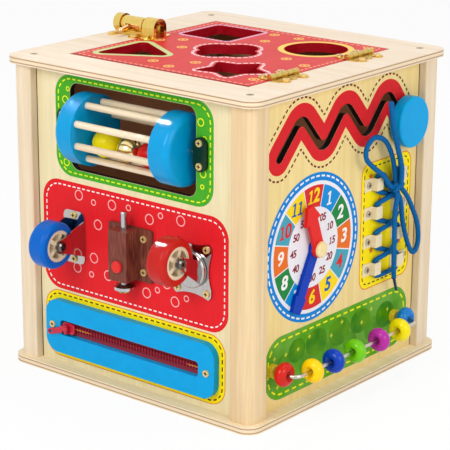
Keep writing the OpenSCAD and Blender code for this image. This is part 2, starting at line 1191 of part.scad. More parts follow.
// The pull hangs askew on its bar
module zip_pull() {
    eye_l = 2 * (2.4 - gap);
    pull_tilt = 17;
    color([0.8, 0.12, 0.2])
    zip_frame()
    translate([slider_x, 0, bar_out])
    difference() {
        union() {
            along_y(-eye_l / 2)
            cylinder(d = 3.4, h = eye_l);
            translate([-6, -eye_l / 2, -0.6])
            cube([6, eye_l, 1.2]);
            rotate([0, 0, pull_tilt])
            translate([-12.4, 0, -0.6])
            linear_extrude(1.2)
            rrect(16.6, 4.8, 2.2);
        }
        along_y(-eye_l)
        cylinder(r = bar_d / 2 + run_fit, h = 2 * eye_l);
        rotate([0, 0, pull_tilt])
        translate([-17.4, 0, 0])
        linear_extrude(5, center = true)
        rrect(4, 2.4, 1);
    }
}

// Zig-zag slot and its knob
function heading(a, b) = atan2(b[1] - a[1], b[0] - a[0]);

// Half a circle round an end of the slot, clockwise from the angle given
function round_end(p, r, from) = [
    for (k = [0 : 12]) p + r * [cos(from - 15 * k), sin(from - 15 * k)],
];

function zig_side(o) = [
    for (k = [1 : len(zig) - 2]) each bend(zig[k - 1], zig[k], zig[k + 1], zig_turn, o, 12),
];

module zig_slot(w) {
    last = len(zig) - 1;
    polygon(concat(
        zig_side(w / 2),
        round_end(zig[last], w / 2, heading(zig[last - 1], zig[last]) + 90),
        backwards(zig_side(-w / 2)),
        round_end(zig[0], w / 2, heading(zig[0], zig[1]) - 90)
    ));
}

collar_d = 12;
collar_t = 1.2;
runner_d = 15;
runner_t = 2.5;
knob_back = gap + collar_t + gap;
spindle_d = 4;

module knob_frame() {
    on_right(knob_y, knob_z)
    children();
}

module knob_runner() {
    color(cream)
    knob_frame()
    difference() {
        union() {
            translate([0, 0, gap])
            cylinder(d = collar_d, h = collar_t);
            translate([0, 0, -panel_t - gap - runner_t])
            cylinder(d = runner_d, h = runner_t);
            translate([0, 0, -panel_t - gap - 1])
            cylinder(d = slot_w - 2 * gap, h = panel_t + 2 * gap + 2);
        }
        cylinder(r = spindle_d / 2 + run_fit, h = 30, center = true);
    }
}

module knob_disc() {
    e = 1.5;
    color(blue)
    knob_frame()
    translate([0, 0, knob_back])
    difference() {
        rotate_extrude()
        difference() {
            square([knob_d / 2, knob_t]);
            translate([knob_d / 2, knob_t])
            edge_cut(e);
            translate([knob_d / 2, 0])
            mirror([0, 1])
            edge_cut(e);
        }
        translate([0, 0, -1])
        cylinder(r = spindle_d / 2 + set_fit, h = knob_t - 1.9);
    }
}

module knob_spindle() {
    behind = panel_t + 2 * gap + runner_t;
    color(chrome)
    knob_frame() {
        translate([0, 0, -behind])
        cylinder(d = spindle_d, h = behind + knob_back + knob_t - 3);
        translate([0, 0, -behind - 1.4])
        cylinder(d = 8, h = 1.4);
    }
}

// Clock
hand_t = 3;
minute_w = 0.5;
hour_w = minute_w + hand_t + 0.4;
peg_w = hour_w + hand_t + 0.4;
hand_bore = 3 + run_fit;

module clock_frame() {
    on_right(clock_y, clock_z)
    children();
}

module hand(length, bar, barb, barb_at, tip) {
    linear_extrude(hand_t)
    difference() {
        union() {
            circle(bar / 2 + 1.5);
            polygon([
                [-bar / 2, 0],
                [bar / 2, 0],
                [bar / 2, barb_at],
                [barb / 2, barb_at],
                [tip / 2, length],
                [-tip / 2, length],
                [-barb / 2, barb_at],
                [-bar / 2, barb_at],
            ]);
        }
        circle(hand_bore);
    }
}

module minute_hand() {
    color([0.06, 0.2, 0.66])
    clock_frame()
    translate([0, 0, minute_w])
    rotate([0, 0, -207.5])
    hand(minute_l, 9.5, 14, minute_l - 13, 10);
}

module hour_hand() {
    color(red)
    clock_frame()
    translate([0, 0, hour_w])
    rotate([0, 0, 20])
    hand(hour_l, 10.5, 18.5, hour_l - 13, 6);
}

module clock_peg() {
    color(cream)
    clock_frame() {
        translate([0, 0, -panel_t])
        cylinder(r = 3, h = panel_t + peg_w + 0.5);
        translate([0, 0, peg_w])
        cylinder(d = 12.5, h = 1.8);
        translate([0, 0, peg_w + 1.8])
        cylinder(d1 = 12.5, d2 = 9.5, h = 1.2);
    }
}

// Lacing
tunnel_w = 5;
tunnel_u = 15.5;
tunnel_in = 6.2;
sheet_t = 1;

module eyelet() {
    z0 = -5;
    a = tunnel_u - tunnel_in / 2;
    b = tunnel_u + tunnel_in / 2;
    foot = 29;
    translate([b, z0, 0])
    cube([foot - b, 10, sheet_t]);
    translate([a - 4, z0, 0])
    cube([4, 10, sheet_t]);
    translate([b, z0, 0])
    cube([sheet_t, 10, tunnel_w + sheet_t]);
    translate([a - sheet_t, z0, 0])
    cube([sheet_t, 10, tunnel_w + sheet_t]);
    translate([a - sheet_t, z0, tunnel_w])
    cube([b - a + 2 * sheet_t, 10, sheet_t]);
}

module lace_eyelets() {
    color(chrome)
    difference() {
        for (k = [0 : 3], m = [0, 1])
            on_right(lace_y, eyelet_z + k * eyelet_step)
            mirror([m, 0, 0])
            eyelet();
        right_bores();
    }
}

// A rope of radius r along smoothed points [u, v, w] of a face frame
function unit(v) = v / norm(v);

function spline(a, b, c, d, t) = 0.5 * (
    2 * b + (c - a) * t
    + (2 * a - 5 * b + 4 * c - d) * t * t
    + (3 * b - a - 3 * c + d) * t * t * t);

function smooth(p, steps) = [
    for (i = [0 : len(p) - 2], k = [0 : steps - 1])
        spline(p[max(i - 1, 0)], p[i], p[i + 1], p[min(i + 2, len(p) - 1)], k / steps),
    p[len(p) - 1],
];

function run(p, i) = unit(p[min(i + 1, len(p) - 1)] - p[max(i - 1, 0)]);

function ring(c, t, r, sides) =
    let (a = unit(cross(t, [0, 0, 1])), b = cross(a, t))
    [for (k = [0 : sides - 1])
        c + r * (a * cos(360 * k / sides) + b * sin(360 * k / sides))];

module rope(points, r, steps) {
    sides = 8;
    p = smooth(points, steps);
    last = len(p) - 1;
    polyhedron(
        points = [for (i = [0 : last]) each ring(p[i], run(p, i), r, sides)],
        faces = concat(
            [[for (k = [sides - 1 : -1 : 0]) k]],
            [for (i = [0 : last - 1], k = [0 : sides - 1]) each [
                [i * sides + k, i * sides + (k + 1) % sides, (i + 1) * sides + k],
                [i * sides + (k + 1) % sides, (i + 1) * sides + (k + 1) % sides,
                    (i + 1) * sides + k],
            ]],
            [[for (k = [0 : sides - 1]) last * sides + k]]
        )
    );
}

lace_r = lace_d / 2;
lie = lace_r + 0.4;
lift = lie + lace_d + 0.3;
knot_at = [1.5, 64.5, 9.5];

// Up through one eyelet on side s of row k
function through(s, k) = [
    for (t = [[0.94, -6.4], [1, -3], [1, 3], [0.94, 6.4]])
        [s * t[0] * tunnel_u, k * eyelet_step + t[1], lie],
];

// Where the two laces cross between rows
function crossing(k, w) = [[0, (k + 0.5) * eyelet_step, w]];

// Half the lace: from the bottom bar up to the knot; s is the side it starts on
function lace_way(s, w) = concat(
    [[s * 9, -7.4, lie]],
    through(s, 0), crossing(0, w),
    through(-s, 1), crossing(1, w),
    through(s, 2), crossing(2, w),
    through(-s, 3), [
        [-s * 10.2, 3 * eyelet_step + 6.4, lie + 2.6],
        knot_at + [-s * 6.8, 3.5, -5.2],
        knot_at + [-s * 2.8, 0.4, -6.4],
    ]);

function backwards(p) = [for (i = [len(p) - 1 : -1 : 0]) p[i]];

module lace_frame() {
    on_right(lace_y, eyelet_z)
    children();
}

module lace_crossing() {
    color([0.02, 0.3, 0.66])
    lace_frame()
    rope(concat(backwards(lace_way(-1, lift)), lace_way(1, lie)), lace_r, 3);
}

// The bow, from the knot
left_loop = [[-4.6, 0.5, 0], [-9, 3.5, -0.5], [-18, 13, -0.5], [-33, 23, 0], [-42, 31, 0],
    [-42.5, 39, 0], [-36, 45, 0], [-25.5, 45.5, 0], [-14.5, 39.5, 0], [-9, 27, 0],
    [-6, 15, -0.5], [-2.1, 4.1, -0.5]];
right_loop = [[4.4, -1.2, 0.7], [9, -5, 1], [17.5, -15, 1], [29.5, -35.5, 1], [32, -52, 1],
    [26, -60, 1], [17.5, -51, 1], [9, -30.5, 1], [5.5, -14, 1], [1.6, -4.3, 0]];
tail = [[-2.1, -3.2, 2.5], [-4, -9, 3.5], [-5.5, -16, 3.5], [-6, -28, 3.5], [-5.5, -52, 3.5],
    [-3.5, -71, 2], [5.5, -87, -0.5]];
riser = [[0.7, 3.4, 3], [-0.5, 8, 5], [-3.5, 20, 6.5], [-12, 38, 7.5], [-20, 58, 8], [-23, 74, 8]];
riser_back = [[3.4, 3, -0.5], [4.5, 8, 0], [1.5, 20, 2], [-7.5, 38, 4], [-15.5, 57, 5],
    [-18.5, 72, 5.4]];

module lace_bow() {
    color([0.02, 0.3, 0.66])
    lace_frame()
    translate(knot_at) {
        rope(left_loop, lace_r, 3);
        rope(right_loop, lace_r, 3);
        rope(tail, lace_r, 3);
        rope(riser, lace_r, 3);
        rope(riser_back, lace_r, 3);
        sphere(d = 9);
    }
}

// Bead wire
module bead_wire() {
    run_l = wire_y1 - wire_y0 - 2 * bend_r;
    color(chrome)
    on_right(0, wire_z) {
        for (y = [wire_y0, wire_y1])
            translate([y, 0, -panel_t])
            cylinder(d = wire_d, h = panel_t + wire_out - bend_r);
        translate([wire_y0 + bend_r, 0, wire_out])
        rotate([0, 90, 0])
        cylinder(d = wire_d, h = run_l);
        for (m = [0, 1])
            translate([m == 0 ? wire_y0 + bend_r : wire_y1 - bend_r, 0, wire_out - bend_r])
            mirror([m, 0, 0])
            rotate([90, 0, 0])
            intersection() {
                rotate_extrude()
                translate([bend_r, 0])
                circle(d = wire_d);
                translate([-2 * bend_r, 0, -bend_r])
                cube([2 * bend_r, 2 * bend_r, 2 * bend_r]);
            }
    }
}

module wire_pegs() {
    color([0.93, 0.8, 0.1])
    for (y = [wire_y0, wire_y1])
        on_right(y, wire_z)
        difference() {
            union() {
                cylinder(d = 11, h = 3.6);
                translate([0, 0, 3.6])
                cylinder(d1 = 11, d2 = 8.6, h = 1.2);
            }
            cylinder(r = wire_d / 2 + set_fit, h = 20, center = true);
        }
}

module bead() {
    bore = wire_d / 2 + gap;
    mid = bead_d / 2 - bead_t / 2;
    rotate_extrude() {
        translate([mid, 0])
        intersection() {
            circle(bead_t / 2);
            translate([0, -bead_t])
            square([bead_t, 2 * bead_t]);
        }
        polygon([
            [bore, -bead_t / 4],
            [mid, -bead_t / 2],
            [mid, bead_t / 2],
            [bore, bead_t / 4],
        ]);
    }
}

// A bead on the long run, at y
module run_bead(y) {
    on_right(y, wire_z)
    translate([0, 0, wire_out])
    rotate([0, 90, 0])
    bead();
}

// A bead on the leg at y
module leg_bead(y) {
    on_right(y, wire_z)
    translate([0, 0, 12.6])
    bead();
}

module bead_red() {
    color(red)
    leg_bead(wire_y0);
}

module bead_yellow_left() {
    color([0.96, 0.84, 0.02])
    run_bead(-66.5);
}

module bead_dark_blue() {
    color([0.02, 0.16, 0.62])
    run_bead(-40);
}

module bead_green() {
    color([0.35, 0.75, 0.08])
    run_bead(-12);
}

module bead_purple() {
    color([0.62, 0.1, 0.56])
    run_bead(20);
}

module bead_yellow_right() {
    color([0.96, 0.84, 0.02])
    run_bead(49);
}

module bead_light_blue() {
    color([0.0, 0.5, 0.82])
    leg_bead(wire_y1);
}

base_board();
top_board();
corner_posts();
front_panel();
right_panel();
back_panel();
left_panel();
case_screws();
brass_screws();
eyelet_screws();
hinge_leaves_board();
hinge_pins();
bolt_barrel();
drum_brackets();
caster_bracket();
caster_axle();
latch_body();
swivel_plate();
zip_board();
zip_tape();
zip_teeth();
clock_peg();
lace_eyelets();
lace_crossing();
lace_bow();
bead_wire();
wire_pegs();
lid();
hinge_leaves_lid();
bolt_keeper();
lid_screws();
bolt_rod();
drum_discs();
drum_dowels();
drum_pins();
ball_yellow();
bell();
ball_red();
caster_tyre();
caster_hub();
latch_pin();
latch_button();
swivel_yoke();
swivel_axle();
swivel_tyre();
swivel_hub();
zip_slider();
zip_pull();
knob_runner();
knob_disc();
knob_spindle();
hour_hand();
minute_hand();
bead_red();
bead_yellow_left();
bead_dark_blue();
bead_green();
bead_purple();
bead_yellow_right();
bead_light_blue();
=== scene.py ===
"""Looks of the wooden activity cube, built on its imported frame.

Lengths are in millimetres and angles in degrees. The studio at the end is in metres.
"""

import math

import bmesh
import bpy
from mathutils import Matrix, Vector
from mathutils.geometry import tessellate_polygon


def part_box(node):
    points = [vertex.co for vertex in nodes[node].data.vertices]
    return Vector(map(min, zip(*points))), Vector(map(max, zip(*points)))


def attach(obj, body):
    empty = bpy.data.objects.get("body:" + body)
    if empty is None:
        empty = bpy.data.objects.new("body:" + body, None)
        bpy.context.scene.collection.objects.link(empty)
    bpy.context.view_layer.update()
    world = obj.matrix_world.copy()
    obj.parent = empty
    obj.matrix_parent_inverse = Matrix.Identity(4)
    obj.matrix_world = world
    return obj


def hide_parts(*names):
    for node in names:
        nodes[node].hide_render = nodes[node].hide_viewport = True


MM = 0.001

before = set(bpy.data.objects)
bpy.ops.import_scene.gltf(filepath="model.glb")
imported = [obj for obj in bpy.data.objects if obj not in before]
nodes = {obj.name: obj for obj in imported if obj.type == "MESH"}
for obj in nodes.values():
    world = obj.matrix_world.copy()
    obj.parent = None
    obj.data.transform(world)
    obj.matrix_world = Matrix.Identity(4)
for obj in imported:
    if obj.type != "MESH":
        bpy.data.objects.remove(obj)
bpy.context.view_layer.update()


def box_mm(node):
    """The two corners of a node's box, in mm."""
    return [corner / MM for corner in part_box(node)]


def middle(node):
    """The middle of a node's box, in mm."""
    low, high = box_mm(node)
    return (low + high) / 2


def placed(name, data):
    """A new object in the scene."""
    thing = bpy.data.objects.new(name, data)
    bpy.context.scene.collection.objects.link(thing)
    return thing


# Places on the faces: u to the right, v up, w out of the face
FRONT_FACE = -box_mm("front_panel")[0].y
RIGHT_FACE = box_mm("right_panel")[1].x
LID_TOP = box_mm("lid")[1].z


def on_front(u, v, w):
    return Vector((u, -FRONT_FACE - w, v)) * MM


def on_right(u, v, w):
    return Vector((RIGHT_FACE + w, u, v)) * MM


def on_lid(u, v, w):
    return Vector((u, v, LID_TOP + w)) * MM


# Camera
CAMERA_AZIMUTH = 39.313
CAMERA_ELEVATION = 17.078
CAMERA_ROLL = 0.312
CAMERA_TARGET = Vector((32.394, -43.103, 126.997))
CAMERA_DISTANCE = 1449.33
CAMERA_LENS = 148.62
SENSOR_WIDTH = 36.0


def make_camera():
    azimuth, elevation, roll = map(math.radians, (CAMERA_AZIMUTH, CAMERA_ELEVATION, CAMERA_ROLL))
    right = Vector((math.cos(azimuth), math.sin(azimuth), 0))
    level = Vector((math.sin(azimuth), -math.cos(azimuth), 0))
    back = level * math.cos(elevation) + Vector((0, 0, math.sin(elevation)))
    up = back.cross(right)
    turned_right = right * math.cos(roll) + up * math.sin(roll)
    turned_up = up * math.cos(roll) - right * math.sin(roll)
    data = bpy.data.cameras.new("camera")
    data.lens = CAMERA_LENS
    data.sensor_width = SENSOR_WIDTH
    camera = placed("camera", data)
    turn = Matrix((turned_right, turned_up, back)).transposed().to_4x4()
    camera.matrix_world = Matrix.Translation((CAMERA_TARGET + back * CAMERA_DISTANCE) * MM) @ turn
    bpy.context.scene.camera = camera


make_camera()


# Materials
def srgb(red, green, blue):
    """A colour as it shows on a screen, 0 to 255, in a shader's linear values."""

    def channel(value):
        share = value / 255
        if share <= 0.04045:
            return share / 12.92
        return ((share + 0.055) / 1.055) ** 2.4

    return (channel(red), channel(green), channel(blue), 1.0)


def shade_of(colour, share):
    """A colour made darker or lighter by a share."""
    return (*[min(1.0, part * share) for part in colour[:3]], 1.0)


class Finish:
    """A material being made: its nodes and its principled shader."""

    def __init__(self, name, roughness, **sockets):
        self.material = bpy.data.materials.new(name)
        self.material.use_nodes = True
        tree = self.material.node_tree
        self.nodes = tree.nodes
        self.join = tree.links.new
        self.shader = self.nodes["Principled BSDF"]
        self.set("Roughness", roughness)
        for socket, value in sockets.items():
            self.set(socket.replace("_", " "), value)
        self.where = self.nodes.new("ShaderNodeTexCoord").outputs["Object"]

    def set(self, socket, value):
        self.shader.inputs[socket].default_value = value

    def feed(self, value, socket):
        """A number, a colour or another node's output goes into a socket."""
        if isinstance(value, bpy.types.NodeSocket):
            self.join(value, socket)
        else:
            socket.default_value = value

    def noise(self, size, stretch=(1, 1, 1), detail=3.0, distortion=0.0):
        """Cloudy noise with features of about size mm, drawn out along an axis by stretch."""
        mapping = self.nodes.new("ShaderNodeMapping")
        mapping.inputs["Scale"].default_value = [1 / part for part in stretch]
        self.join(self.where, mapping.inputs["Vector"])
        node = self.nodes.new("ShaderNodeTexNoise")
        node.inputs["Scale"].default_value = 1 / (size * MM)
        node.inputs["Detail"].default_value = detail
        node.inputs["Distortion"].default_value = distortion
        self.join(mapping.outputs["Vector"], node.inputs["Vector"])
        return node.outputs["Fac"]

    def along(self, axis):
        """The place along an axis, in mm."""
        split = self.nodes.new("ShaderNodeSeparateXYZ")
        self.join(self.where, split.inputs["Vector"])
        return self.math("DIVIDE", split.outputs[axis], MM)

    def math(self, operation, first, second=0.0):
        node = self.nodes.new("ShaderNodeMath")
        node.operation = operation
        self.feed(first, node.inputs[0])
        self.feed(second, node.inputs[1])
        return node.outputs["Value"]

    def spread(self, value, low, high):
        """A share from 0 at low to 1 at high."""
        node = self.nodes.new("ShaderNodeMapRange")
        self.join(value, node.inputs["Value"])
        node.inputs["From Min"].default_value = low
        node.inputs["From Max"].default_value = high
        return node.outputs["Result"]

    def mix(self, share, first, second):
        """From the first colour to the second."""
        node = self.nodes.new("ShaderNodeMix")
        node.data_type = "RGBA"
        self.feed(share, node.inputs["Factor"])
        self.feed(first, node.inputs[6])
        self.feed(second, node.inputs[7])
        return node.outputs[2]

    def colour(self, socket):
        self.join(socket, self.shader.inputs["Base Color"])

    def rough(self, value, low, high):
        """Roughness from low to high with a noise value."""
        node = self.nodes.new("ShaderNodeMapRange")
        self.join(value, node.inputs["Value"])
        node.inputs["To Min"].default_value = low
        node.inputs["To Max"].default_value = high
        self.join(node.outputs["Result"], self.shader.inputs["Roughness"])

    def bump(self, height, depth):
        """Bumps of about depth mm."""
        node = self.nodes.new("ShaderNodeBump")
        node.inputs["Distance"].default_value = depth * MM
        self.join(height, node.inputs["Height"])
        self.join(node.outputs["Normal"], self.shader.inputs["Normal"])


LONG = 26.0
FIBRE = {"X": (LONG, 1, 1), "Y": (1, LONG, 1), "Z": (1, 1, LONG)}


def grain(finish, pale, deep, axis):
    """Wood's colour: broad bands and fine fibres along an axis."""
    band = finish.spread(finish.noise(7.0, FIBRE[axis], 2.0, 0.4), 0.36, 0.66)
    fibre = finish.spread(finish.noise(1.3, FIBRE[axis], 4.0), 0.40, 0.64)
    ground = finish.mix(band, pale, deep)
    finish.bump(fibre, 0.03)
    return finish.mix(finish.math("MULTIPLY", fibre, 0.30), ground, shade_of(deep, 0.86))


def wood(name, pale, deep, axis, roughness=0.5):
    finish = Finish(name, roughness, Specular_IOR_Level=0.25)
    finish.colour(grain(finish, pale, deep, axis))
    return finish.material


def post_finish():
    """Pale posts. The front right one is yellower and darker."""
    finish = Finish("post_wood", 0.5, Specular_IOR_Level=0.25)
    pale = grain(finish, srgb(237, 218, 190), srgb(226, 204, 172), "Z")
    yellow = grain(finish, srgb(232, 206, 162), srgb(220, 190, 146), "Z")
    right = finish.spread(finish.along("X"), -1.0, 1.0)
    front = finish.spread(finish.along("Y"), 1.0, -1.0)
    finish.colour(finish.mix(finish.math("MULTIPLY", right, front), pale, yellow))
    return finish.material


GLUE_LINE = srgb(176, 142, 108)
CORE = srgb(234, 214, 182)
CORE_SHARE = 0.4
GLUE_SOLID = 0.7
GLUE_FADE = 1.2


def plywood(name, pale, deep, node):
    """A board of three plies, whose brown glue lines and core show at its edges."""
    low, high = box_mm(node)
    finish = Finish(name, 0.5, Specular_IOR_Level=0.25)
    height = finish.along("Z")
    face = grain(finish, pale, deep, "X")
    from_middle = finish.math("ABSOLUTE", finish.math("SUBTRACT", height, (low.z + high.z) / 2))
    half_core = (high.z - low.z) * CORE_SHARE / 2
    core = finish.spread(from_middle, half_core, half_core - 0.1)
    line = finish.spread(from_middle, half_core + GLUE_FADE, half_core + GLUE_SOLID)
    edge = finish.mix(line, face, GLUE_LINE)
    finish.colour(finish.mix(core, edge, CORE))
    return finish.material


HARDBOARD = srgb(206, 150, 108)
# The cut walls are near black at the slot and dark brown round the drum window; part of that darkness is
# painted shade.
SLOT_WALL = srgb(16, 11, 10)
WINDOW_WALL = srgb(40, 24, 16)
PANEL_T = RIGHT_FACE - box_mm("right_panel")[0].x
VENEER_T = 0.1


def faced_panel(name, pale, deep, axis, face, wall):
    """A panel: a veneer at the place face along an axis, cut walls of the colour wall, a brown back."""
    finish = Finish(name, 0.5, Specular_IOR_Level=0.3)
    veneer = grain(finish, pale, deep, "Z")
    depth = finish.math("ABSOLUTE", finish.math("SUBTRACT", finish.along(axis), face))
    speck = finish.mix(finish.spread(finish.noise(0.9), 0.4, 0.6), HARDBOARD, shade_of(HARDBOARD, 0.85))
    cut = finish.mix(finish.spread(depth, PANEL_T - 0.1, PANEL_T - 0.05), wall, speck)
    finish.colour(finish.mix(finish.spread(depth, VENEER_T, VENEER_T + 0.04), veneer, cut))
    return finish.material


def paint(name, colour, roughness=0.35, coat=0.15):
    """Gloss paint with a slight unevenness."""
    finish = Finish(name, roughness, Specular_IOR_Level=0.08, Coat_Weight=coat, Coat_Roughness=0.14)
    cloud = finish.spread(finish.noise(9.0), 0.3, 0.7)
    finish.colour(finish.mix(cloud, shade_of(colour, 0.94), colour))
    finish.bump(finish.noise(1.6), 0.02)
    return finish.material


def ink(name, colour, roughness=0.5):
    """Printing ink over fine wood fibres."""
    finish = Finish(name, roughness, Specular_IOR_Level=0.12)
    fibre = finish.spread(finish.noise(1.2, (1, 1, 9.0), 4.0), 0.35, 0.65)
    finish.colour(finish.mix(fibre, shade_of(colour, 0.93), colour))
    finish.bump(fibre, 0.008)
    return finish.material


def mottled(name, first, second, size):
    """Printing ink that drifts between two colours."""
    finish = Finish(name, 0.5, Specular_IOR_Level=0.12)
    finish.colour(finish.mix(finish.spread(finish.noise(size), 0.38, 0.62), first, second))
    return finish.material


def metal(name, colour, low, high):
    """Plated metal with faint polishing marks. Its roughness goes from low to high."""
    finish = Finish(name, low, Metallic=1.0)
    marks = finish.noise(2.2, (1, 1, 5.0), 5.0)
    finish.colour(finish.mix(finish.spread(marks, 0.3, 0.7), shade_of(colour, 0.88), colour))
    finish.rough(marks, low, high)
    finish.bump(finish.noise(5.0), 0.02)
    return finish.material


def moulded(name, colour, roughness=0.4):
    """Moulded plastic or dull metal with a fine sparked grain."""
    finish = Finish(name, roughness, Specular_IOR_Level=0.2)
    grit = finish.noise(0.5)
    finish.colour(finish.mix(finish.spread(finish.noise(6.0), 0.3, 0.7), shade_of(colour, 0.93), colour))
    finish.bump(grit, 0.015)
    return finish.material


PALE_WOOD = srgb(243, 227, 206)
DEEP_WOOD = srgb(236, 215, 188)
FRONT_VENEER = (srgb(236, 222, 180), srgb(231, 214, 168))
RIGHT_VENEER = (srgb(240, 215, 148), srgb(235, 207, 137))
SKY_BLUE = srgb(0, 160, 222)

BRASS = metal("brass", srgb(246, 222, 148), 0.12, 0.28)
BOLT_BRASS = metal("bolt_brass", srgb(238, 206, 114), 0.05, 0.16)
HINGE_BRASS = metal("hinge_brass", srgb(222, 190, 104), 0.14, 0.3)
CHROME = metal("chrome", srgb(196, 196, 200), 0.04, 0.12)
PLATED = metal("plated_steel", srgb(192, 188, 186), 0.05, 0.12)
# A darker copy of the chrome for the axles: its dark tone is painted shade on their hollow heads.
SHADED_CHROME = metal("shaded_chrome", srgb(116, 110, 108), 0.06, 0.16)
STEEL = metal("steel", srgb(206, 198, 184), 0.16, 0.32)
SKY_PAINT = paint("sky_blue_paint", SKY_BLUE, 0.35, 0.08)
RED_PAINT = paint("red_paint", srgb(214, 26, 22))
CREAM_PLASTIC = moulded("cream_plastic", srgb(226, 208, 178))


# Flat shapes: closed loops of points in mm
SQUARE_SIGNS = ((-1, -1), (1, -1), (1, 1), (-1, 1))


def circle(u, v, radius, sides=40):
    return [(u + radius * math.cos(2 * math.pi * k / sides), v + radius * math.sin(2 * math.pi * k / sides))
            for k in range(sides)]


def oval(u, v, half_u, half_v):
    return [(u + x * half_u, v + y * half_v) for x, y in circle(0, 0, 1)]


def arc(u, v, radius, start, end, sides=10):
    turns = [math.radians(start + (end - start) * k / sides) for k in range(sides + 1)]
    return [(u + radius * math.cos(turn), v + radius * math.sin(turn)) for turn in turns]


def rounded(low_u, low_v, high_u, high_v, radius):
    """A rectangle with round corners."""
    corners = [(high_u, high_v, 0), (low_u, high_v, 90), (low_u, low_v, 180), (high_u, low_v, 270)]
    loop = []
    for u, v, start in corners:
        centre_u = u - radius if u == high_u else u + radius
        centre_v = v - radius if v == high_v else v + radius
        loop += arc(centre_u, centre_v, radius, start, start + 90)
    return loop


def shrunk(edges, inset, radius):
    """A rectangle with round corners, inset mm inside the edges."""
    low_u, low_v, high_u, high_v = edges
    return rounded(low_u + inset, low_v + inset, high_u - inset, high_v - inset, radius)


def ring(u, v, outer, line):
    """A ring's two loops: its outside and its hole."""
    return [circle(u, v, outer, 28), circle(u, v, outer - line, 28)]


def star(u, v, radius, waist, points=5, turn=90.0):
    """A pointed star; waist is the inner radius as a share of the outer."""
    return [(u + radius * share * math.cos(math.radians(turn + 180 * k / points)),
             v + radius * share * math.sin(math.radians(turn + 180 * k / points)))
            for k in range(2 * points) for share in [waist if k % 2 else 1.0]]


def turned(before, here, after, radius, offset):
    """A line's turn at here, offset mm to its left: an arc, or a sharp corner where there's no room."""
    first = (Vector(here) - Vector(before)).normalized()
    second = (Vector(after) - Vector(here)).normalized()
    bend = math.atan2(first.x * second.y - first.y * second.x, first.dot(second))
    side = 1 if bend > 0 else -1
    if radius - side * offset > 0.3:
        start = Vector(here) - first * radius * math.tan(abs(bend) / 2)
        centre = start + Vector((-first.y, first.x)) * side * radius
        angle = math.degrees(math.atan2(start.y - centre.y, start.x - centre.x))
        return arc(*centre, radius - side * offset, angle, angle + math.degrees(bend), 12)
    lean = Vector((-first.y, first.x)) + Vector((-second.y, second.x))
    return [tuple(Vector(here) + lean * offset * 2 / lean.length_squared)]


def rounded_loop(corners, radius, extra):
    """A counter-clockwise loop with round corners, moved out by extra mm."""
    loop = []
    for k, corner in enumerate(corners):
        loop += turned(corners[k - 1], corner, corners[(k + 1) % len(corners)], radius, -extra)
    return loop


def track(points, radius, left, right):
    """The outline of a bent track, left and right mm to the sides of its middle line, with round ends."""

    def side(offset):
        edge = []
        for before, here, after in zip(points, points[1:], points[2:]):
            edge += turned(before, here, after, radius, offset)
        return edge

    def end(here, ahead, start):
        """Half a circle, clockwise, from the angle start to the heading."""
        heading = math.degrees(math.atan2(ahead.y, ahead.x))
        middle_u = here[0] - (left - right) / 2 * math.sin(math.radians(heading))
        middle_v = here[1] + (left - right) / 2 * math.cos(math.radians(heading))
        return arc(middle_u, middle_v, (left + right) / 2, heading + start, heading + start - 180, 16)

    first = Vector(points[1]) - Vector(points[0])
    last = Vector(points[-1]) - Vector(points[-2])
    return side(left) + end(points[-1], last, 90) + side(-right)[::-1] + end(points[0], first, -90)


def spaced(path, closed=True):
    """The running length at each point of a path, with the first point again at the end if it is closed."""
    points = [Vector(point) for point in path] + ([Vector(path[0])] if closed else [])
    lengths = [0.0]
    for first, second in zip(points, points[1:]):
        lengths.append(lengths[-1] + (second - first).length)
    return points, lengths


def point_at(points, lengths, distance):
    """The point and direction at a distance along a path."""
    for k in range(1, len(points)):
        if lengths[k] >= distance or k == len(points) - 1:
            step = max(lengths[k] - lengths[k - 1], 1e-9)
            ahead = points[k] - points[k - 1]
            return points[k - 1] + ahead * ((distance - lengths[k - 1]) / step), ahead.normalized()


def dashes(path, length, gap, width):
    """A row of stitches along a closed path."""
    points, lengths = spaced(path)
    count = round(lengths[-1] / (length + gap))
    pitch = lengths[-1] / count
    loops = []
    for k in range(count):
        marks = [point_at(points, lengths, k * pitch + length * part / 3) for part in range(4)]
        sides = [(point, Vector((-ahead.y, ahead.x)) * width / 2) for point, ahead in marks]
        loop = [tuple(point - across) for point, across in sides]
        loop += [tuple(point + across) for point, across in reversed(sides)]
        loops.append([loop])
    return loops


# Printed films
FILM = 0.06


def finished_mesh(name, vertices, faces, material, body, smooth=False):
    """A closed mesh piece that rides on a body."""
    mesh = bpy.data.meshes.new(name)
    shape = bmesh.new()
    corners = [shape.verts.new(vertex) for vertex in vertices]
    for face in faces:
        shape.faces.new([corners[k] for k in face]).smooth = smooth
    bmesh.ops.recalc_face_normals(shape, faces=shape.faces)
    shape.to_mesh(mesh)
    shape.free()
    mesh.materials.append(material)
    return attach(placed(name, mesh), body)


def film(name, place, shapes, layer, material, body="case", lift=0.0):
    """Thin closed plates, lift mm above a face, in layers. A shape is an outer loop and its holes."""
    low, high = lift + layer * FILM, lift + (layer + 1) * FILM
    vertices, faces = [], []
    for loops in shapes:
        flat = [point for loop in loops for point in loop]
        base, count = len(vertices), len(flat)
        vertices += [place(u, v, low) for u, v in flat] + [place(u, v, high) for u, v in flat]
        for triangle in tessellate_polygon([[Vector((u, v, 0)) for u, v in loop] for loop in loops]):
            faces.append([base + k for k in triangle])
            faces.append([base + count + k for k in reversed(triangle)])
        start = base
        for loop in loops:
            for k in range(len(loop)):
                here, there = start + k, start + (k + 1) % len(loop)
                faces.append([here, there, there + count, here + count])
            start += len(loop)
    return finished_mesh(name, vertices, faces, material, body)


CORNER_SHARE = 0.8


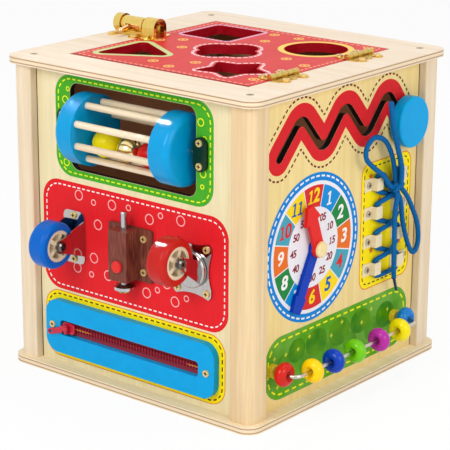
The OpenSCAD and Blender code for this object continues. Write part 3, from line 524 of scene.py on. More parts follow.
def sewn(place, prefix, edges, radius, inset, stitch, ground, thread, holes=(), outline=None):
    """A printed patch with a row of stitches inside its edge, and a thin outline if it has one.

    The edges are its low u and v and its high u and v. A stitch is a length, a gap and a width.
    """
    patch = rounded(*edges, radius)
    film(prefix + "_print", place, [[patch, *holes]], 0, ground)
    row = shrunk(edges, inset, radius - inset * CORNER_SHARE)
    film(prefix + "_stitches", place, dashes(row, *stitch), 1, thread)
    if outline:
        width, material = outline
        inner = shrunk(edges, width, radius - width)
        film(prefix + "_outline", place, [[patch, inner]], 1, material)


RED_INK = ink("red_ink", srgb(226, 30, 38))
GREEN_INK = ink("green_ink", srgb(70, 168, 38))
YELLOW_INK = ink("yellow_ink", srgb(255, 230, 10))
WHITE_INK = ink("white_ink", srgb(244, 242, 238))
BLUE_INK = ink("blue_ink", srgb(0, 130, 212))
BROWN_INK = ink("brown_ink", srgb(104, 36, 20))
PINK_INK = ink("pink_ink", srgb(250, 178, 176))
LIME_INK = ink("lime_ink", srgb(228, 240, 40))
ORANGE_INK = ink("orange_ink", srgb(222, 110, 34))
DARK_INK = ink("dark_ink", srgb(66, 62, 40))


# Painted shade in the gaps between panels and posts
GAP_U = 100.5
GAP_W = 0.8


def gap_lines():
    """Dark strips on the panels beside the posts: painted shade that stands for the gaps there."""
    dark = ink("gap_painted_shade", srgb(84, 60, 38))
    low, high = box_mm("front_panel")
    strips = [[rounded(side - GAP_W, low.z, side, high.z, 0.1)] for side in (GAP_W - GAP_U, GAP_U)]
    film("front_gaps", on_front, strips, 0, dark)
    film("right_gaps", on_right, strips, 0, dark)


# Front face: the drum's frame
DRUM_PATCH = (-80.0, 163.9, 79.1, 244.5)
DRUM_STITCH = (3.5, 2.2, 1.1)
DRUM_WINDOW = (-64.7, 169.8, 62.7, 239.2)
WINDOW_CORNER = 8.2
FRAME_RING_LINE = 0.9
FRAME_RINGS = [(-66.6, 233.2, 2.0), (-69.6, 224.3, 3.2), (-69.4, 174.4, 3.2), (-71.5, 204.0, 2.0),
               (66.9, 228.2, 3.2), (69.1, 189.8, 3.2), (68.4, 179.8, 2.0), (70.5, 216.5, 2.0)]


def drum_frame_print():
    hole = rounded(*DRUM_WINDOW, WINDOW_CORNER)
    sewn(on_front, "drum_frame", DRUM_PATCH, radius=16.0, inset=3.1, stitch=DRUM_STITCH,
         ground=GREEN_INK, thread=LIME_INK, holes=[hole])
    rings = [ring(u, v, size, FRAME_RING_LINE) for u, v, size in FRAME_RINGS]
    film("drum_frame_rings", on_front, rings, 1, LIME_INK)


# Front face: the hardware panel
HARDWARE_PATCH = (-95.8, 68.8, 93.8, 159.3)
HARDWARE_STITCH = (3.0, 2.1, 1.0)
RING_LINE = 0.85
BIG_RING = 4.3
SMALL_RING = 2.6
RINGS = [(-57, 150, BIG_RING), (-41.4, 147, SMALL_RING), (-22, 148.6, BIG_RING),
         (-5, 149.7, SMALL_RING), (16.3, 144.7, BIG_RING), (27.5, 149.7, SMALL_RING),
         (47.5, 149.6, BIG_RING), (-37, 129.8, BIG_RING), (-41.8, 101.7, BIG_RING),
         (-59.8, 90.2, BIG_RING), (-44.7, 87.7, SMALL_RING), (-27, 90.5, BIG_RING),
         (13, 85.3, BIG_RING), (24, 90, SMALL_RING), (41.7, 84.5, BIG_RING),
         (53, 89.6, SMALL_RING), (-55.5, 103, BIG_RING), (33.3, 97.2, BIG_RING)]


def hardware_print():
    sewn(on_front, "hardware", HARDWARE_PATCH, radius=17.0, inset=3.7, stitch=HARDWARE_STITCH,
         ground=RED_INK, thread=WHITE_INK)
    film("hardware_rings", on_front, [ring(u, v, size, RING_LINE) for u, v, size in RINGS], 1, PINK_INK)


# Front face: the zip panel
ZIP_PATCH = (-95.4, 10.9, 91.3, 67.1)
ZIP_STITCH = (3.4, 2.4, 1.15)


def zip_print():
    sewn(on_front, "zip", ZIP_PATCH, radius=15.0, inset=3.0, stitch=ZIP_STITCH,
         ground=YELLOW_INK, thread=BROWN_INK, outline=(0.6, ORANGE_INK))


# Right face: the zig-zag slot
KNOB = middle("knob_disc")
ZIG_LOW = 197.5
ZIG_HIGH = 229.0
ZIG_FIRST = -53.7
ZIG_STEP = 27.75
ZIG_START = (-80.0, 201.8)
ZIG_TURN = 8.5
ZIG_BAND = (14.0, 12.3)
ZIG_SLOT = (3.72, 3.72)
ZIG_ROW = (18.2, 16.8)
ZIG_STITCH = (3.0, 2.0, 1.5)


def zig_zag_print():
    peaks = [(ZIG_FIRST + k * ZIG_STEP, ZIG_LOW if k % 2 else ZIG_HIGH) for k in range(5)]
    way = [ZIG_START, *peaks, (KNOB.y, KNOB.z)]
    band = [track(way, ZIG_TURN, *ZIG_BAND), track(way, ZIG_TURN, *ZIG_SLOT)]
    film("zig_zag_print", on_right, [band], 0, ink("zig_zag_ink", srgb(214, 28, 36)))
    row = track(way, ZIG_TURN, *ZIG_ROW)
    film("zig_zag_stitches", on_right, dashes(row, *ZIG_STITCH), 0, BROWN_INK)


# Right face: the clock
CLOCK_U = middle("clock_peg").y
CLOCK_V = middle("clock_peg").z
CLOCK_R = 58.2
WHITE_R = 51.6
RIM_ROW = CLOCK_R - 2.9
RIM_STITCH = (4.2, 2.5, 1.35)
HOURS_OUT = 48.6
HOURS_IN = 31.5
HOURS_MIDDLE = (HOURS_IN + HOURS_OUT) / 2
MINUTES_R = 24.4
HOUR_SIZE = (14.8, 15.6)
MINUTE_SIZE = (8.0, 8.2)
SECTOR_GAP_OUT = 0.55
SECTOR_GAP_IN = 0.85
HOUR_TINTS = {"red": srgb(216, 42, 40), "blue": srgb(8, 140, 214), "green": srgb(28, 132, 62),
              "orange": srgb(232, 112, 34), "teal": srgb(70, 162, 184), "yellow": srgb(250, 216, 24),
              "navy": srgb(0, 96, 172)}
HOUR_GROUNDS = ["blue", "green", "orange", "teal", "yellow", "red"]
HOUR_FIGURES = ["white", "white", "white", "red", "navy", "yellow"]
SLANT = 0.16
FIGURE_PITCH = 0.46
ONE = [(-0.06, -0.26), (-0.18, -0.26), (-0.18, -0.35), (0.18, -0.35), (0.18, -0.26), (0.06, -0.26),
       (0.06, 0.35), (-0.03, 0.35), (-0.18, 0.27), (-0.18, 0.18), (-0.06, 0.22)]


def hour_angle(hour):
    """The angle of an hour on the dial, counter-clockwise from the right."""
    return 90 - 30 * hour


def polar(hour, radius):
    """A place on the dial."""
    turn = math.radians(hour_angle(hour))
    return CLOCK_U + radius * math.cos(turn), CLOCK_V + radius * math.sin(turn)


def sector(hour):
    """One hour's field, with half of a thin white gap on each side."""
    turn = hour_angle(hour)
    outer = arc(CLOCK_U, CLOCK_V, HOURS_OUT, turn - 15 + SECTOR_GAP_OUT, turn + 15 - SECTOR_GAP_OUT, 12)
    inner = arc(CLOCK_U, CLOCK_V, HOURS_IN, turn + 15 - SECTOR_GAP_IN, turn - 15 + SECTOR_GAP_IN, 12)
    return outer + inner


def figure_shape(text):
    """One figure's mesh, about 0.7 high and centred. The one has a foot; the others are plain text."""
    if text == "1":
        count = len(ONE)
        vertices = [(x, y, z) for z in (-0.5, 0.5) for x, y in ONE]
        faces = [[k, (k + 1) % count, (k + 1) % count + count, k + count] for k in range(count)]
        return vertices, faces + [list(range(count)), list(range(2 * count - 1, count - 1, -1))]
    curve = bpy.data.curves.new("numeral", "FONT")
    curve.body = text
    curve.align_x = "CENTER"
    curve.align_y = "CENTER"
    curve.offset = 0.02 if text == "9" else 0.03
    curve.extrude = 0.5
    carrier = placed("numeral", curve)
    bpy.context.view_layer.update()
    mesh = bpy.data.meshes.new_from_object(carrier)
    bpy.data.objects.remove(carrier)
    vertices = [tuple(vertex.co) for vertex in mesh.vertices]
    return vertices, [list(polygon.vertices) for polygon in mesh.polygons]


def numerals(name, numbers, size, layer, material):
    """Numbers on the right face, each a text and its place. The size is the scale upwards and sideways."""
    height, width = size
    vertices, faces = [], []
    for text, u, v in numbers:
        for k, figure in enumerate(text):
            points, polygons = figure_shape(figure)
            base = len(vertices)
            aside = (k - (len(text) - 1) / 2) * FIGURE_PITCH
            for x, y, z in points:
                across = u + (x + aside + SLANT * y) * width
                vertices.append(on_right(across, v + y * height, (layer + (z > 0)) * FILM))
            faces += [[base + corner for corner in polygon] for polygon in polygons]
    return finished_mesh(name, vertices, faces, material, "case")


def clock_print():
    inks = {name: ink("clock_" + name, colour) for name, colour in HOUR_TINTS.items()}
    inks["white"] = WHITE_INK
    rim = [circle(CLOCK_U, CLOCK_V, radius, 90) for radius in (CLOCK_R, WHITE_R)]
    film("clock_rim", on_right, [rim], 0, BLUE_INK)
    dial = circle(CLOCK_U, CLOCK_V, WHITE_R, 72)
    film("clock_dial", on_right, [[dial]], 0, ink("dial_ink", srgb(236, 233, 238)))
    row = circle(CLOCK_U, CLOCK_V, RIM_ROW, 90)
    film("clock_stitches", on_right, dashes(row, *RIM_STITCH), 1, WHITE_INK)
    for k, ground in enumerate(HOUR_GROUNDS):
        hours = [k + 1, k + 7]
        film("clock_hours_" + ground, on_right, [[sector(hour)] for hour in hours], 1, inks[ground])
        numbers = [(str(hour), *polar(hour, HOURS_MIDDLE)) for hour in hours]
        numerals("clock_figures_" + ground, numbers, HOUR_SIZE, 2, inks[HOUR_FIGURES[k]])
    minutes = [(f"{5 * hour:02d}", *polar(hour, MINUTES_R)) for hour in range(1, 12)]
    numerals("clock_minutes", minutes, MINUTE_SIZE, 1, ink("minute_ink", srgb(138, 20, 40)))


# Right face: the lacing panel
LACING_PATCH = (24.75, 71.5, 92.75, 175.4)
LACING_STITCH = (3.4, 2.6, 1.1)
LACE_STARS = [(50, 142.5), (60, 157.4), (40, 103), (79, 102), (77, 133), (66, 80), (37, 164)]


def lacing_print():
    sewn(on_right, "lacing", LACING_PATCH, radius=10.0, inset=4.0, stitch=LACING_STITCH,
         ground=YELLOW_INK, thread=DARK_INK, outline=(0.7, ORANGE_INK))
    film("lacing_stars", on_right, [[star(u, v, 3.4, 0.45)] for u, v in LACE_STARS], 1, ORANGE_INK)


# Right face: the bead panel
BEAD_PATCH = (-94.6, 12.4, 93.0, 63.2)
BEAD_STITCH = (5.2, 3.6, 1.4)
BEAD_LEAVES = [(-55, 46, 10.5, 9.5), (-30, 46, 13.5, 10.5), (0, 46, 13.7, 11.5), (28, 47, 13.5, 10),
               (62, 43, 12.5, 11)]
BEAD_SHOOTS = [(-72, 38, 9), (-42, 32, 9), (-15, 34, 8), (14, 33, 9), (44, 36, 10), (78, 30, 9)]
BEAD_MARKS = [(-83, 47), (-69, 46.6), (-53.6, 46.6), (-39.4, 53), (-11, 45.6), (3, 53), (30, 45),
              (42.6, 53), (65.6, 46.6), (-79, 23)]


def bead_print():
    ground = mottled("bead_ground", srgb(84, 158, 10), srgb(110, 170, 62), 22.0)
    sewn(on_right, "bead", BEAD_PATCH, radius=20.0, inset=4.0, stitch=BEAD_STITCH,
         ground=ground, thread=ink("bead_thread", srgb(246, 240, 24)))
    film("bead_shoots", on_right, [[circle(*disc)] for disc in BEAD_SHOOTS], 1,
         mottled("shoot_ink", srgb(72, 142, 12), srgb(96, 158, 34), 14.0))
    film("bead_leaves", on_right, [[oval(*leaf)] for leaf in BEAD_LEAVES], 2,
         mottled("leaf_ink", srgb(50, 126, 6), srgb(88, 150, 2), 14.0))
    film("bead_marks", on_right, [[star(u, v, 2.2, 0.5, 4)] for u, v in BEAD_MARKS], 3,
         ink("mark_ink", srgb(206, 212, 60)))


# Lid: each hole's place and its side or radius
TRIANGLE = (-75.0, -45.0, 60.7)
SQUARE = (-49.2, 52.7, 49.0)
ROUND = (48.2, 50.3, 25.25)
FLOWER = (-1.4, 0.0, 15.5)
FLOWER_OUT = 12.0
FLOWER_TURN = -10.0
STAR = (45.3, -50.0, 29.3)
TRIANGLE_CORNER = 4.5
SQUARE_CORNER = 4.0
STAR_CORNER = 2.5
STAR_TURN = 10.0
STAR_WAIST = 0.6
HOLE_GAP = 0.4
TRIANGLE_RIM = 5.0
ROUND_RIM = 5.2
SQUARE_ROW = 2.4
LID_MARGIN = 4.6
LID_STITCH = (3.2, 2.2, 1.5)
LID_EDGE_W = 2.4
SQUARE_DASH = (3.4, 1.0, 3.0)
PALE_DASH = (3.4, 1.5, 2.4)
PALE_ROW = 2.8
DOT_R = 4.3
DOT_LINE = 1.4
DOT_MIDDLE = 1.5
LID_DOTS = [(-20.6, -66.6), (1.5, -73.8), (8.2, -50.2), (-70, -2.6), (-56.4, 10.4), (-37.4, -13.1),
            (-12.2, 74.4), (12.6, 74.6), (-2, 48.6), (52.8, 5.7), (78.4, -4.8), (79, -67.4), (77.2, 81)]


def triangle_loop(extra):
    """The triangular hole's edge, moved out by extra mm."""
    u, v, side = TRIANGLE
    corners = [(u, v - side / 2), (u + side * math.sqrt(3) / 2, v), (u, v + side / 2)]
    return rounded_loop(corners, TRIANGLE_CORNER, extra)


def square_loop(extra):
    """The square hole's edge, moved out by extra mm."""
    u, v, side = SQUARE
    corners = [(u + a * side / 2, v + b * side / 2) for a, b in SQUARE_SIGNS]
    return rounded_loop(corners, SQUARE_CORNER, extra)


def flower_loop(extra):
    """The four-lobed hole's edge, moved out by extra mm."""
    u, v, lobe = FLOWER
    radius = lobe + extra
    across = FLOWER_OUT * math.sin(math.radians(45))
    notch = across + math.sqrt(radius ** 2 - across ** 2)
    reach = math.degrees(math.atan2(notch * math.sin(math.radians(45)),
                                    notch * math.cos(math.radians(45)) - FLOWER_OUT))
    loop = []
    for k in range(4):
        turn = FLOWER_TURN + 90 * k
        centre_u = u + FLOWER_OUT * math.cos(math.radians(turn))
        centre_v = v + FLOWER_OUT * math.sin(math.radians(turn))
        loop += arc(centre_u, centre_v, radius, turn - reach, turn + reach, 18)
    return loop


def star_loop(extra):
    """The star-shaped hole's edge, moved out by extra mm."""
    return rounded_loop(star(*STAR, STAR_WAIST, 5, STAR_TURN), STAR_CORNER, extra)


def lid_film(name, shapes, material):
    film(name, on_lid, shapes, 0, material, "lid")


def lid_prints():
    low, high = box_mm("lid")
    row = shrunk((low.x, low.y, high.x, high.y), LID_MARGIN, 2.0)
    lid_film("lid_stitches", dashes(row, *LID_STITCH), ink("lid_thread", srgb(252, 182, 140)))
    # A dark red strip along the lid's front edge: painted shade on that edge.
    edge = rounded(low.x, low.y, high.x, low.y + LID_EDGE_W, 0.3)
    lid_film("lid_front_edge", [[edge]], ink("lid_edge_shade", srgb(160, 18, 26)))
    dot = ink("lid_dot", srgb(252, 206, 110))
    lid_film("lid_dots", [ring(u, v, DOT_R, DOT_LINE) for u, v in LID_DOTS], dot)
    lid_film("lid_dot_middles", [[circle(u, v, DOT_MIDDLE, 16)] for u, v in LID_DOTS], dot)


def hole_prints():
    """The outlines printed round the sorting holes."""
    triangle = [triangle_loop(TRIANGLE_RIM), triangle_loop(HOLE_GAP)]
    lid_film("triangle_outline", [triangle], ink("triangle_ink", srgb(206, 220, 150)))
    square = dashes(square_loop(SQUARE_ROW), *SQUARE_DASH)
    lid_film("square_outline", square, ink("square_ink", srgb(226, 186, 216)))
    u, v, radius = ROUND
    band = [circle(u, v, radius + ROUND_RIM, 64), circle(u, v, radius + HOLE_GAP, 64)]
    lid_film("round_outline", [band], ink("round_ink", srgb(250, 212, 104)))
    pale = ink("outline_ink", srgb(250, 222, 226))
    lid_film("flower_outline", dashes(flower_loop(PALE_ROW), *PALE_DASH), pale)
    lid_film("star_outline", dashes(star_loop(PALE_ROW), *PALE_DASH), pale)


# Lace
LACE_ORIGIN = (57.5, 88.0)
LACE_D = 4.0
LACE_ROW = 23.2
TUNNEL_U = 14.7
LACE_LIE = 2.7
LACE_UNDER = LACE_D / 2 + 0.3
LACE_OVER = LACE_UNDER + LACE_D + 0.2
KNOT = Vector((1.5, 64.5, 9.5))
KNOT_TURN = [(-4.4, -2.6, 1.2), (-3.0, 0.6, 3.4), (0.4, 2.6, 4.2), (3.6, 2.2, 3.2), (4.8, -0.4, 0.8),
             (3.4, -2.8, -1.8), (-0.4, -3.0, -2.8), (-3.8, -1.0, -2.4), (-4.2, 1.6, 0.2), (-2.2, 3.2, 2.2)]
LEFT_LOOP = [(-4.6, 0.5, 0), (-9, 3.5, -0.5), (-18, 13, -0.5), (-33, 23, 0), (-42, 31, 0),
             (-42.5, 39, 0), (-36, 45, 0), (-27, 45.5, 0), (-16, 39.5, 0), (-7.5, 27, 0),
             (-2.8, 15, -0.5), (-0.9, 4.4, -0.5)]
RIGHT_LOOP = [(4.4, -1.2, 0.7), (9, -5, 1), (17.5, -15, 1), (29.5, -35.5, 1), (32, -52, 1), (26, -60, 1),
              (17.5, -51, 1), (9, -30.5, 1), (5.5, -14, 1), (1.6, -4.3, 0)]
TAIL = [(-2.1, -3.2, 2.5), (-4, -9, 3.5), (-5.5, -16, 3.5), (-6, -28, 3.5), (-5.5, -52, 3.5),
        (-4.2, -64, 2.8), (-1.5, -74.5, 1.4)]
RISER = [(0.7, 3.4, 3), (-0.5, 8, 5), (-3.5, 20, 6.5), (-12, 38, 7.5), (-20, 58, 8), (-23, 74, 8)]
RISER_BACK = [(3.4, 3, -0.5), (4.5, 8, 0), (1.5, 20, 2), (-7.5, 38, 4), (-15.5, 57, 5), (-18.5, 72, 5.4)]
BRAID_STEP = 0.6
BRAID_SIDES = 16
BRAID_STRANDS = 4
BRAID_RELIEF = 0.16
BRAID_MEAN = 0.6
BRAID_PITCH = 5.0

# The lace's tip: each ring is a share of its length and a radius
AGLET_TIP = (6.0, -88.0, -0.8)
AGLET_RINGS = [(0.0, 2.06), (0.05, 2.06), (0.1, 1.35), (0.6, 1.2), (0.95, 1.05), (1.0, 0.6)]
AGLET_SIDES = 14
AGLET_OVERLAP = 0.8


def lace_point(point):
    u, v, w = point
    return on_right(LACE_ORIGIN[0] + u, LACE_ORIGIN[1] + v, w)


def curved(points, steps=10):
    """A smooth line through the points."""
    line = []
    last = len(points) - 1
    for k in range(last):
        a, b, c, d = (Vector(points[min(max(k + j, 0), last)]) for j in (-1, 0, 1, 2))
        for step in range(steps):
            t = step / steps
            line.append(0.5 * (2 * b + (c - a) * t + (2 * a - 5 * b + 4 * c - d) * t * t
                               + (3 * b - a - 3 * c + d) * t * t * t))
    return line + [Vector(points[last])]


def even(line, step):
    """The line's points again, evenly spaced."""
    points, lengths = spaced(line, closed=False)
    count = max(2, round(lengths[-1] / step))
    return [point_at(points, lengths, lengths[-1] * k / count)[0] for k in range(count + 1)]


def tube_faces(rings, sides):
    """The faces of a closed tube, whose rings follow each other in the list of corners."""
    faces = []
    for k in range(rings - 1):
        for side in range(sides):
            a, b = k * sides + side, k * sides + (side + 1) % sides
            faces.append([a, b, b + sides, a + sides])
    faces.append(list(range(sides)))
    faces.append([rings * sides - 1 - side for side in range(sides)])
    return faces


def braid(name, points):
    """A braided lace along points of the lacing's frame: the piece, its line and its length in m."""
    line = [lace_point(point) for point in even(curved(points), BRAID_STEP)]
    vertices = []
    across = Vector((1, 0, 0))
    for k, here in enumerate(line):
        ahead = (line[min(k + 1, len(line) - 1)] - line[max(k - 1, 0)]).normalized()
        across = (across - ahead * across.dot(ahead)).normalized()
        other = ahead.cross(across)
        run = 2 * math.pi * k * BRAID_STEP / BRAID_PITCH
        for side in range(BRAID_SIDES):
            turn = 2 * math.pi * side / BRAID_SIDES
            weave = max(math.cos(BRAID_STRANDS * turn + run), math.cos(BRAID_STRANDS * turn - run))
            radius = (LACE_D / 2 + BRAID_RELIEF * (weave - BRAID_MEAN)) * MM
            vertices.append(here + (across * math.cos(turn) + other * math.sin(turn)) * radius)
    faces = tube_faces(len(line), BRAID_SIDES)
    piece = finished_mesh(name, vertices, faces, LACE, "case", smooth=True)
    length = sum((second - first).length for first, second in zip(line, line[1:]))
    return piece, line, length


def through(side, row):
    """Up through one eyelet."""
    return [(side * share * TUNNEL_U, row * LACE_ROW + rise, LACE_LIE)
            for share, rise in ((0.94, -6.4), (1, -3), (1, 3), (0.94, 6.4))]


def lace_way(side):
    """Half of the lace, from the bottom bar to the knot. A strand that climbs to the right lies on top."""
    way = [(side * 9, -7.4, LACE_LIE)]
    for row in range(4):
        sign = side if row % 2 == 0 else -side
        way += through(sign, row)
        if row < 3:
            way.append((0, (row + 0.5) * LACE_ROW, LACE_OVER if sign < 0 else LACE_UNDER))
    way.append((-side * 10.2, 3 * LACE_ROW + 6.4, LACE_LIE + 2.6))
    way += [tuple(KNOT + Vector((-side * u, v, w))) for u, v, w in ((6.8, 3.5, -5.2), (2.8, 0.4, -6.4))]
    return way


def from_knot(points):
    """Points given from the knot, in the lacing's frame."""
    return [tuple(KNOT + Vector(point)) for point in points]


def lace_material():
    """Blue cord with a fine, fuzzy yarn."""
    finish = Finish("lace_braid", 0.72, Specular_IOR_Level=0.15)
    yarn = finish.noise(0.45, (1, 1, 1), 4.0)
    deep, bright = srgb(0, 64, 118), srgb(0, 110, 178)
    finish.colour(finish.mix(finish.spread(yarn, 0.32, 0.62), deep, bright))
    finish.bump(yarn, 0.12)
    return finish.material


LACE = lace_material()


def make_knot():
    """The knot: one turn of the lace round the crossing strands."""
    return braid("lace_knot", from_knot(KNOT_TURN))[0]


def make_aglet():
    """The slim dark tip on the tail."""
    end, tip = (Vector(point) for point in from_knot([TAIL[-1], AGLET_TIP]))
    ahead = (tip - end).normalized()
    start = end - ahead * AGLET_OVERLAP
    length = (tip - start).length
    across = ahead.orthogonal().normalized()
    other = ahead.cross(across)
    vertices = []
    for share, radius in AGLET_RINGS:
        centre = start + ahead * share * length
        for side in range(AGLET_SIDES):
            turn = 2 * math.pi * side / AGLET_SIDES
            spoke = across * math.cos(turn) + other * math.sin(turn)
            vertices.append(lace_point(centre + spoke * radius))
    faces = tube_faces(len(AGLET_RINGS), AGLET_SIDES)
    navy = moulded("aglet", srgb(18, 44, 88), 0.3)
    return finished_mesh("lace_aglet", vertices, faces, navy, "case", smooth=True)


def make_lace():
    crossing = lace_way(-1)[::-1] + lace_way(1)
    laced = braid("lace_through_eyelets", crossing)[0]
    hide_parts("lace_crossing")
    knot = make_knot()
    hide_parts("lace_bow")
    aglet = make_aglet()
    for name, points, far_end, on_it in (("lace_left_loop", LEFT_LOOP, "object", []),
                                         ("lace_right_loop", RIGHT_LOOP, "object", []),
                                         ("lace_tail", TAIL, "fitting", [aglet]),
                                         ("lace_riser", RISER, "bare", []),
                                         ("lace_riser_back", RISER_BACK, "bare", [])):
        piece, line, length = braid(name, from_knot(points))


# Painted shade in the cross recesses of the small screws
def four(u, v, out_u, out_v):
    """Four points round a middle."""
    return [(u + a, v + b) for a in (-out_u, out_u) for b in (-out_v, out_v)]


HEAD_T = 1.2
CROSS_R = 2.0
CROSS_WAIST = 0.4
CASTER_SCREWS = [(-61.5, 97.7), (-61.5, 133.3)]
ZIP_SCREWS = [(-82.5, 39.5), (77.5, 37.5)]
EYELET_SCREWS = [(LACE_ORIGIN[0] + aside, LACE_ORIGIN[1] + LACE_ROW * row)
                 for aside in (-24.3, 24.3) for row in range(4)]

# Each row is a name, a face, the places of its screws and the height of their seat
SCREW_ROWS = [("latch_crosses", on_front, four(-1.5, 115.5, 14.2, 13.3), 2.5),
              ("caster_crosses", on_front, CASTER_SCREWS, 1.5),
              ("swivel_crosses", on_front, four(60, 115.5, 14, 17.2), 1.8),
              ("drum_crosses", on_front, four(-1, 204.5, 69, 8.8), 3.0),
              ("zip_crosses", on_front, ZIP_SCREWS, 6.0),
              ("eyelet_crosses", on_right, EYELET_SCREWS, 1.0)]


def screw_crosses():
    # Dark crosses on the screw heads: painted shade in their recesses.
    dark = ink("recess_painted_shade", srgb(64, 48, 34))
    for name, face, points, seat in SCREW_ROWS:
        crosses = [[star(u, v, CROSS_R, CROSS_WAIST, 4)] for u, v in points]
        film(name, face, crosses, 0, dark, lift=seat + HEAD_T)


make_lace()
gap_lines()
screw_crosses()
drum_frame_print()
hardware_print()
zip_print()
zig_zag_print()
clock_print()
lacing_print()
bead_print()
lid_prints()
hole_prints()


# Finishes of the CAD pieces
def lid_finish():
    """Red print on top; deep red edges and hole walls, partly their own red paint and partly painted shade.
    """
    finish = Finish("lid_red", 0.42, Specular_IOR_Level=0.1)
    fibre = finish.spread(finish.noise(1.2, FIBRE["Y"], 4.0), 0.35, 0.65)
    top = finish.mix(fibre, srgb(208, 44, 44), srgb(220, 54, 52))
    # The deeper red of the edges and hole walls is partly painted shade.
    wall = finish.mix(fibre, srgb(150, 8, 22), srgb(170, 12, 28))
    finish.colour(finish.mix(finish.spread(finish.along("Z"), LID_TOP - 0.15, LID_TOP - 0.05), wall, top))
    finish.bump(fibre, 0.01)
    return finish.material


def screw_finish():
    """Dull brass that keeps its own colour next to dark pieces."""
    finish = Finish("screw_brass", 0.35, Metallic=0.35)
    finish.colour(finish.mix(finish.noise(2.2), srgb(214, 180, 104), srgb(240, 214, 146)))
    return finish.material


def latch_finish():
    """Stained wood with an open vertical grain."""
    finish = Finish("latch_wood", 0.4, Specular_IOR_Level=0.15, Coat_Weight=0.1, Coat_Roughness=0.2)
    fibre = finish.spread(finish.noise(0.9, (1, 1, 14.0), 5.0), 0.38, 0.62)
    finish.colour(finish.mix(fibre, srgb(90, 40, 31), srgb(136, 72, 57)))
    finish.bump(fibre, 0.06)
    return finish.material


def tape_finish():
    """Woven maroon tape with ribs across it."""
    finish = Finish("zip_tape", 0.8, Sheen_Weight=0.2)
    rib = finish.math("SINE", finish.math("MULTIPLY", finish.along("X"), 2 * math.pi / 1.1))
    line = finish.math("SINE", finish.math("MULTIPLY", finish.along("Z"), 2 * math.pi / 2.2))
    weave = finish.math("MULTIPLY", finish.math("ADD", rib, line), 0.25)
    finish.colour(finish.mix(finish.spread(weave, -0.4, 0.4), srgb(106, 8, 26), srgb(176, 22, 50)))
    finish.bump(weave, 0.12)
    return finish.material


def teeth_finish():
    """Maroon teeth with a pale line along the middle near both ends."""
    finish = Finish("zip_teeth", 0.5, Specular_IOR_Level=0.25)
    from_middle = finish.math("ABSOLUTE", finish.math("SUBTRACT", finish.along("Z"), middle("zip_teeth").z))
    low, high = box_mm("zip_teeth")
    across = finish.along("X")
    left = finish.spread(across, low.x + 28, low.x + 24)
    right = finish.spread(across, high.x - 12, high.x - 8)
    ends = finish.math("MAXIMUM", left, right)
    thread = finish.math("MULTIPLY", ends, finish.spread(from_middle, 0.55, 0.35))
    cloud = finish.mix(finish.noise(1.5), srgb(110, 6, 24), srgb(152, 14, 42))
    finish.colour(finish.mix(thread, cloud, srgb(206, 130, 54)))
    return finish.material


BEAD_COAT = 0.35
BEAD_TINTS = {"bead_red": srgb(204, 24, 12), "bead_yellow_left": srgb(252, 206, 4),
              "bead_dark_blue": srgb(0, 60, 180), "bead_green": srgb(112, 200, 10),
              "bead_purple": srgb(182, 40, 158), "bead_yellow_right": srgb(244, 226, 4),
              "bead_light_blue": srgb(4, 122, 204)}


